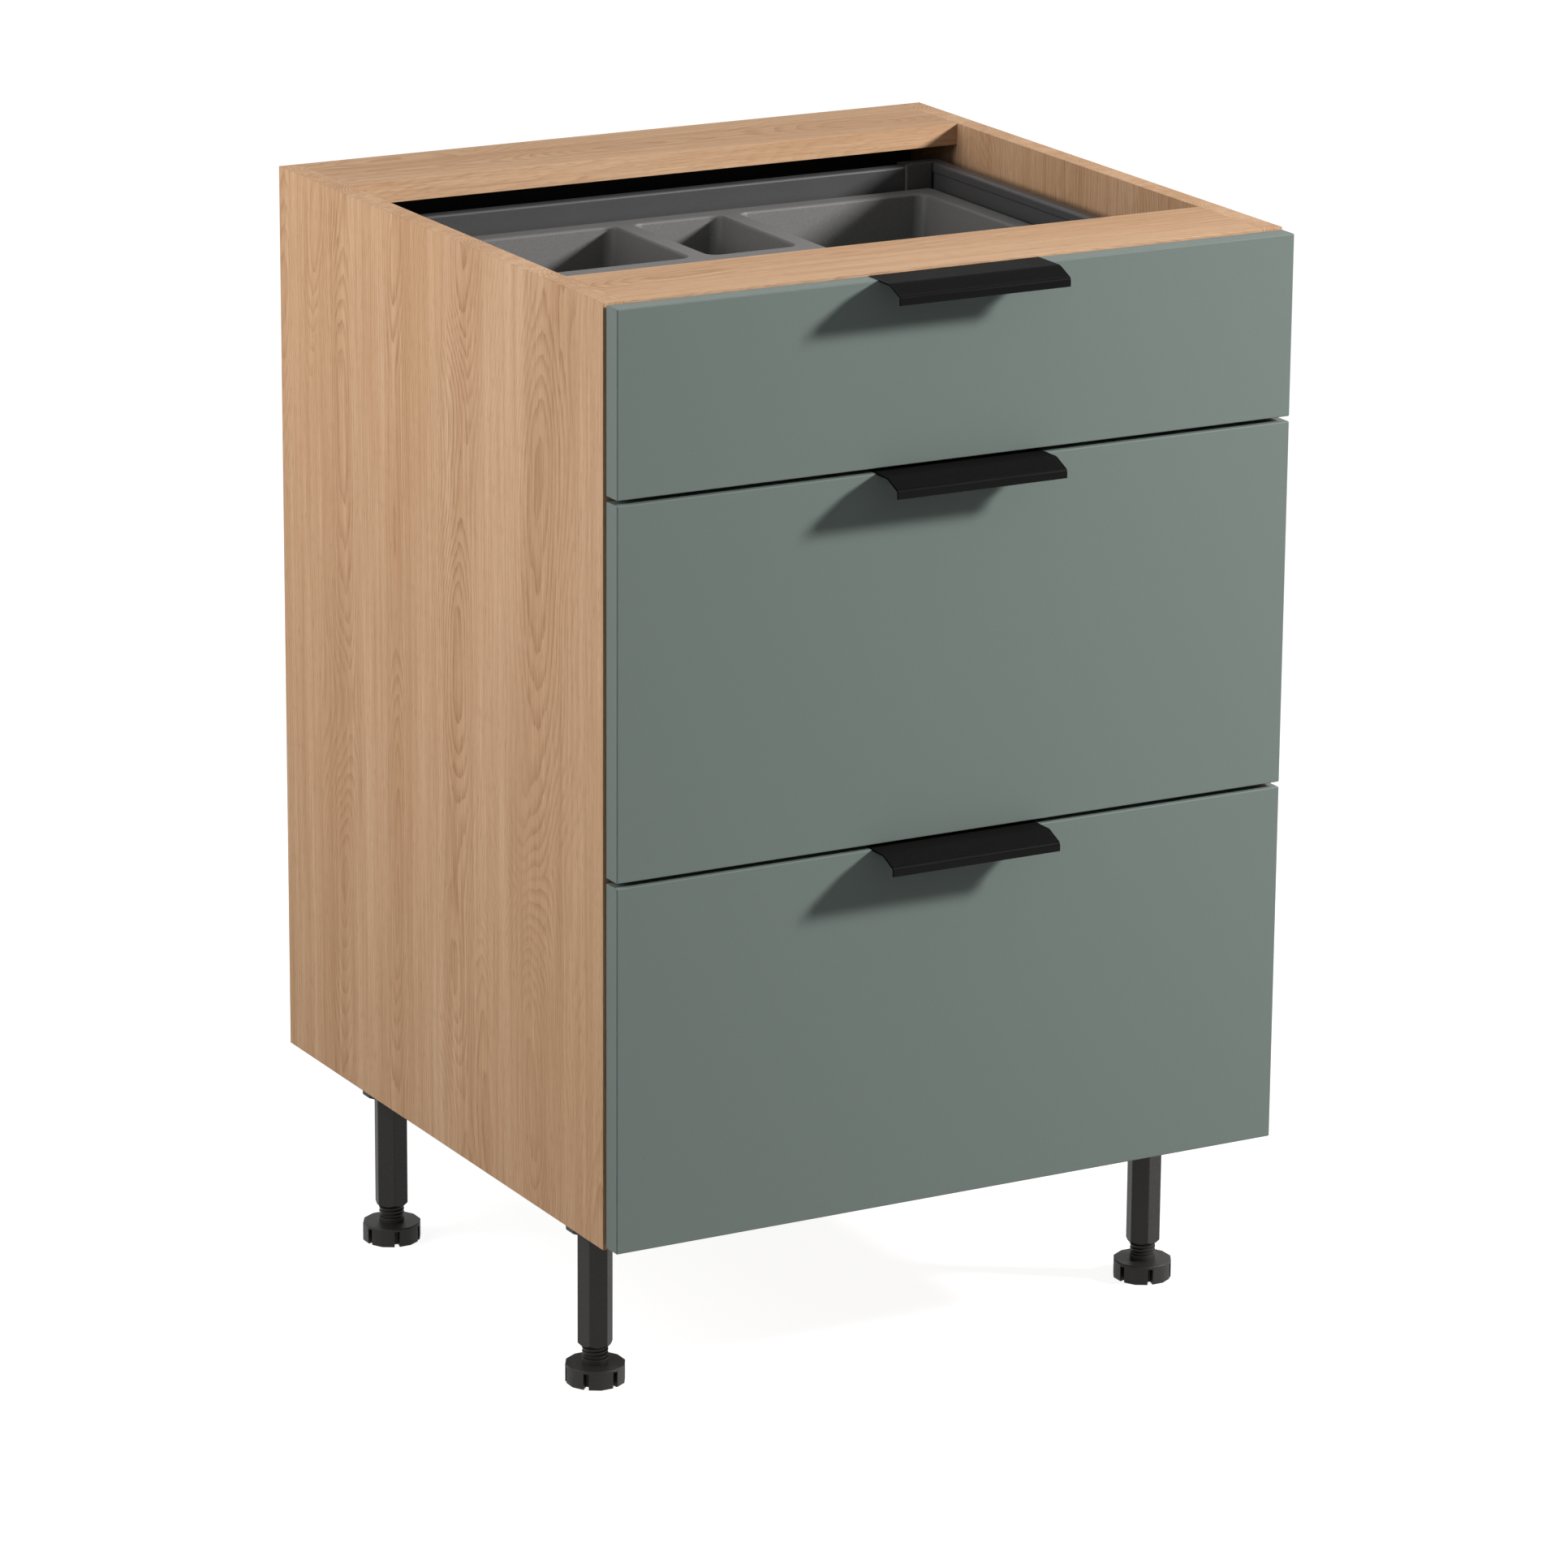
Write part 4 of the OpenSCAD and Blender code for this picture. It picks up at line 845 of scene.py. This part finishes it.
wells = {
    "front_left": (across[0], across[1], along[0], along[1]),
    "front_middle": (across[2], across[3], along[0], along[1]),
    "back_left": (across[0], across[1], along[2], along[3]),
    "back_middle": (across[2], across[3], along[2], along[3]),
    "right": (across[4], across[5], along[0], along[3]),
}
bpy.ops.object.select_all(action="DESELECT")
bpy.ops.mesh.primitive_plane_add(size=1, location=(0, (tray_front + tray_back) / 2, tray_top))
tray = start_piece("cutlery_tray_sheet")
bpy.ops.transform.resize(value=(2 * tray_half, tray_back - tray_front, 1), center_override=tray.location)
bpy.ops.object.mode_set(mode="OBJECT")
bpy.ops.object.transform_apply(location=True, rotation=True, scale=True)
bpy.ops.object.mode_set(mode="EDIT")
for x in across:
    bpy.ops.mesh.select_all(action="SELECT")
    bpy.ops.mesh.bisect(plane_co=(x, 0, tray_top), plane_no=(1, 0, 0))
for y in along:
    bpy.ops.mesh.select_all(action="SELECT")
    bpy.ops.mesh.bisect(plane_co=(0, y, tray_top), plane_no=(0, 1, 0))
for left, right, near, far in wells.values():
    middle = ((left + right) / 2, (near + far) / 2, 0)
    pick(tray, "FACE", lambda spot, normal: left < spot.x < right and near < spot.y < far
         and spot.z > tray_top - 0.001)
    bpy.ops.mesh.extrude_region_move(TRANSFORM_OT_translate={"value": (0, 0, -tray_deep)})
    bpy.ops.transform.resize(value=((right - left - 2 * draft) / (right - left),
                                    (far - near - 2 * draft) / (far - near), 1), center_override=middle)
pick(tray, "EDGE", lambda spot, run: abs(spot.x) > tray_half - 0.0001 or spot.y < tray_front + 0.0001
     or spot.y > tray_back - 0.0001)
bpy.ops.mesh.extrude_edges_move(TRANSFORM_OT_translate={"value": (0, 0, -rim_skirt)})
bpy.ops.mesh.select_all(action="SELECT")
bpy.ops.mesh.dissolve_limited(angle_limit=math.radians(1))
pick(tray, "EDGE", lambda spot, run: abs(run.z) > 0.8 * tray_deep)
bpy.ops.mesh.bevel(offset=0.009, segments=5, affect="EDGES")
pick(tray, "EDGE", lambda spot, run: abs(run.z) > 0.8 * rim_skirt and spot.z > tray_top - rim_skirt)
bpy.ops.mesh.bevel(offset=0.006, segments=4, affect="EDGES")
pick(tray, "FACE", lambda spot, normal: spot.z < tray_top - tray_deep + 0.0001)
bpy.ops.mesh.region_to_loop()
bpy.ops.mesh.bevel(offset=0.006, segments=4, affect="EDGES")
pick(tray, "FACE", lambda spot, normal: spot.z > tray_top - 0.0001)
bpy.ops.mesh.region_to_loop()
bpy.ops.mesh.bevel(offset=0.0022, segments=4, affect="EDGES")
bpy.ops.mesh.select_all(action="SELECT")
bpy.ops.mesh.normals_make_consistent(inside=False)
end_piece(tray, tray_plastic)
use_modifier(tray, "SOLIDIFY", thickness=tray_sheet, offset=-1, use_even_offset=True)
end_piece(tray, tray_plastic, 35)
mount_on(tray, "top_drawer", "tray_plastic", "cutlery_tray")


# Drawer fronts: 18 mm fibreboard with a matt sage lacquer. Their edges are eased by a millimetre,
# and the top edge and the back have a shallow seat for the handle.
front_lacquer = moulded("front_sage", paint(107, 118, 114), paint(113, 124, 120), 0.46, 0.14, 1300.0, 0.3)
front_half = 0.2985
front_back = -0.2605
front_face = -0.2785
front_heights = {"top": (0.752, 0.8985), "middle": (0.452, 0.748), "lower": (0.1525, 0.448)}
seat_half = 0.0751
seat_deep = 0.0012
seat_leg = 0.0312
sheet = 0.0018

for drawer, (low, high) in front_heights.items():
    bpy.ops.object.select_all(action="DESELECT")
    bpy.ops.mesh.primitive_cube_add(size=1, location=(0, (front_back + front_face) / 2, (low + high) / 2))
    front = start_piece(drawer + "_front_board")
    bpy.ops.transform.resize(value=(2 * front_half, front_back - front_face, high - low),
                             center_override=front.location)
    bpy.ops.object.mode_set(mode="OBJECT")
    bpy.ops.object.transform_apply(location=True, rotation=True, scale=True)
    bpy.ops.object.mode_set(mode="EDIT")
    bpy.ops.mesh.select_all(action="SELECT")
    bpy.ops.mesh.bevel(offset=0.001, segments=3, affect="EDGES")
    end_piece(front, front_lacquer)
    for tall, near, far in ((seat_deep, front_face - 0.01, front_back + 0.01),
                            (seat_leg, front_back - sheet, front_back + 0.01)):
        bpy.ops.object.select_all(action="DESELECT")
        bpy.ops.mesh.primitive_cube_add(size=1)
        seat = bpy.context.active_object
        seat.scale = (2 * seat_half, far - near, tall + 0.01)
        seat.location = (0, (near + far) / 2, high - tall + (tall + 0.01) / 2)
        bpy.ops.object.transform_apply(location=True, rotation=True, scale=True)
        cut_away(front, seat)
    end_piece(front, front_lacquer, 35)
    mount_on(front, drawer + "_drawer", "sage_lacquer", drawer + "_drawer_front")


# Handles: a strip of 1.8 mm steel, folded over the top edge of the front and bent down to a lip,
# with a black powder coat. Its rear leg is let into the back of the front. The lip and the ends get a
# darker, glossier copy of the coat: painted shade on the lip and a painted highlight on the fold and ends.
handle_coat = moulded("handle_black", paint(20, 20, 20), paint(32, 32, 32), 0.45, 0.006, 1400.0, 0.4)
# The darker, glossier copy of the coat: painted shade on the lip and a painted highlight on the fold and ends
handle_shade_and_glint = moulded("handle_black_shade_and_glint", paint(8, 8, 8), paint(15, 15, 15), 0.26, 0.08, 1400.0, 0.1)
handle_half = 0.075
handle_rise = 0.0006
folds = [
    (front_back, -seat_leg),
    (front_back, handle_rise),
    (front_face - 0.0165, handle_rise),
    (front_face - 0.033, handle_rise - 0.007),
    (front_face - 0.033, handle_rise - 0.014),
]
fold_insets = [0.0028, 0.0020, 0.0022]
for drawer, (low, high) in front_heights.items():
    bpy.ops.object.select_all(action="DESELECT")
    bpy.ops.mesh.primitive_plane_add(size=2 * handle_half, location=(0, folds[0][0], high + folds[0][1]))
    handle = start_piece(drawer + "_handle_strip")
    bpy.ops.object.mode_set(mode="OBJECT")
    bpy.ops.object.transform_apply(location=True, rotation=True, scale=True)
    bpy.ops.object.mode_set(mode="EDIT")
    pick(handle, "VERT", lambda spot: spot.y > folds[0][0])
    bpy.ops.mesh.delete(type="VERT")
    bpy.ops.mesh.select_all(action="SELECT")
    bpy.ops.transform.translate(value=(0, handle_half, 0))
    bpy.ops.mesh.select_mode(type="EDGE")
    bpy.ops.mesh.select_all(action="SELECT")
    for (y0, z0), (y1, z1) in zip(folds, folds[1:]):
        bpy.ops.mesh.extrude_edges_move(TRANSFORM_OT_translate={"value": (0, y1 - y0, z1 - z0)})
    for (y, z), inset in zip(folds[1:], fold_insets):
        pick(handle, "EDGE", lambda middle, run: abs(run.x) > handle_half and abs(middle.y - y) < 0.0003
             and abs(middle.z - high - z) < 0.0003)
        bpy.ops.mesh.bevel(offset=inset, segments=6, affect="EDGES")
    bpy.ops.mesh.select_all(action="SELECT")
    bpy.ops.mesh.normals_make_consistent(inside=False)
    bpy.ops.object.mode_set(mode="OBJECT")
    top = max(handle.data.polygons, key=lambda face: face.center.z)
    bpy.ops.object.mode_set(mode="EDIT")
    if top.normal.z < 0:
        bpy.ops.mesh.flip_normals()
    bpy.ops.object.mode_set(mode="OBJECT")
    use_modifier(handle, "SOLIDIFY", thickness=sheet, offset=-1, use_even_offset=True)
    use_modifier(handle, "BEVEL", width=0.0003, segments=2, limit_method="ANGLE", angle_limit=math.radians(60))
    end_piece(handle, handle_coat, 35)
    handle.data.materials.append(handle_shade_and_glint)
    bpy.ops.object.mode_set(mode="EDIT")
    # Painted shade and highlight: the ends and the lip take the darker, glossier copy of the coat
    pick(handle, "FACE", lambda middle, normal: abs(normal.x) > 0.3
         or (middle.y < front_face - 0.025 and middle.z < high - 0.005))
    handle.active_material_index = 1
    bpy.ops.object.material_slot_assign()
    bpy.ops.object.mode_set(mode="OBJECT")
    mount_on(handle, drawer + "_drawer", "black_handle", drawer + "_drawer_handle")
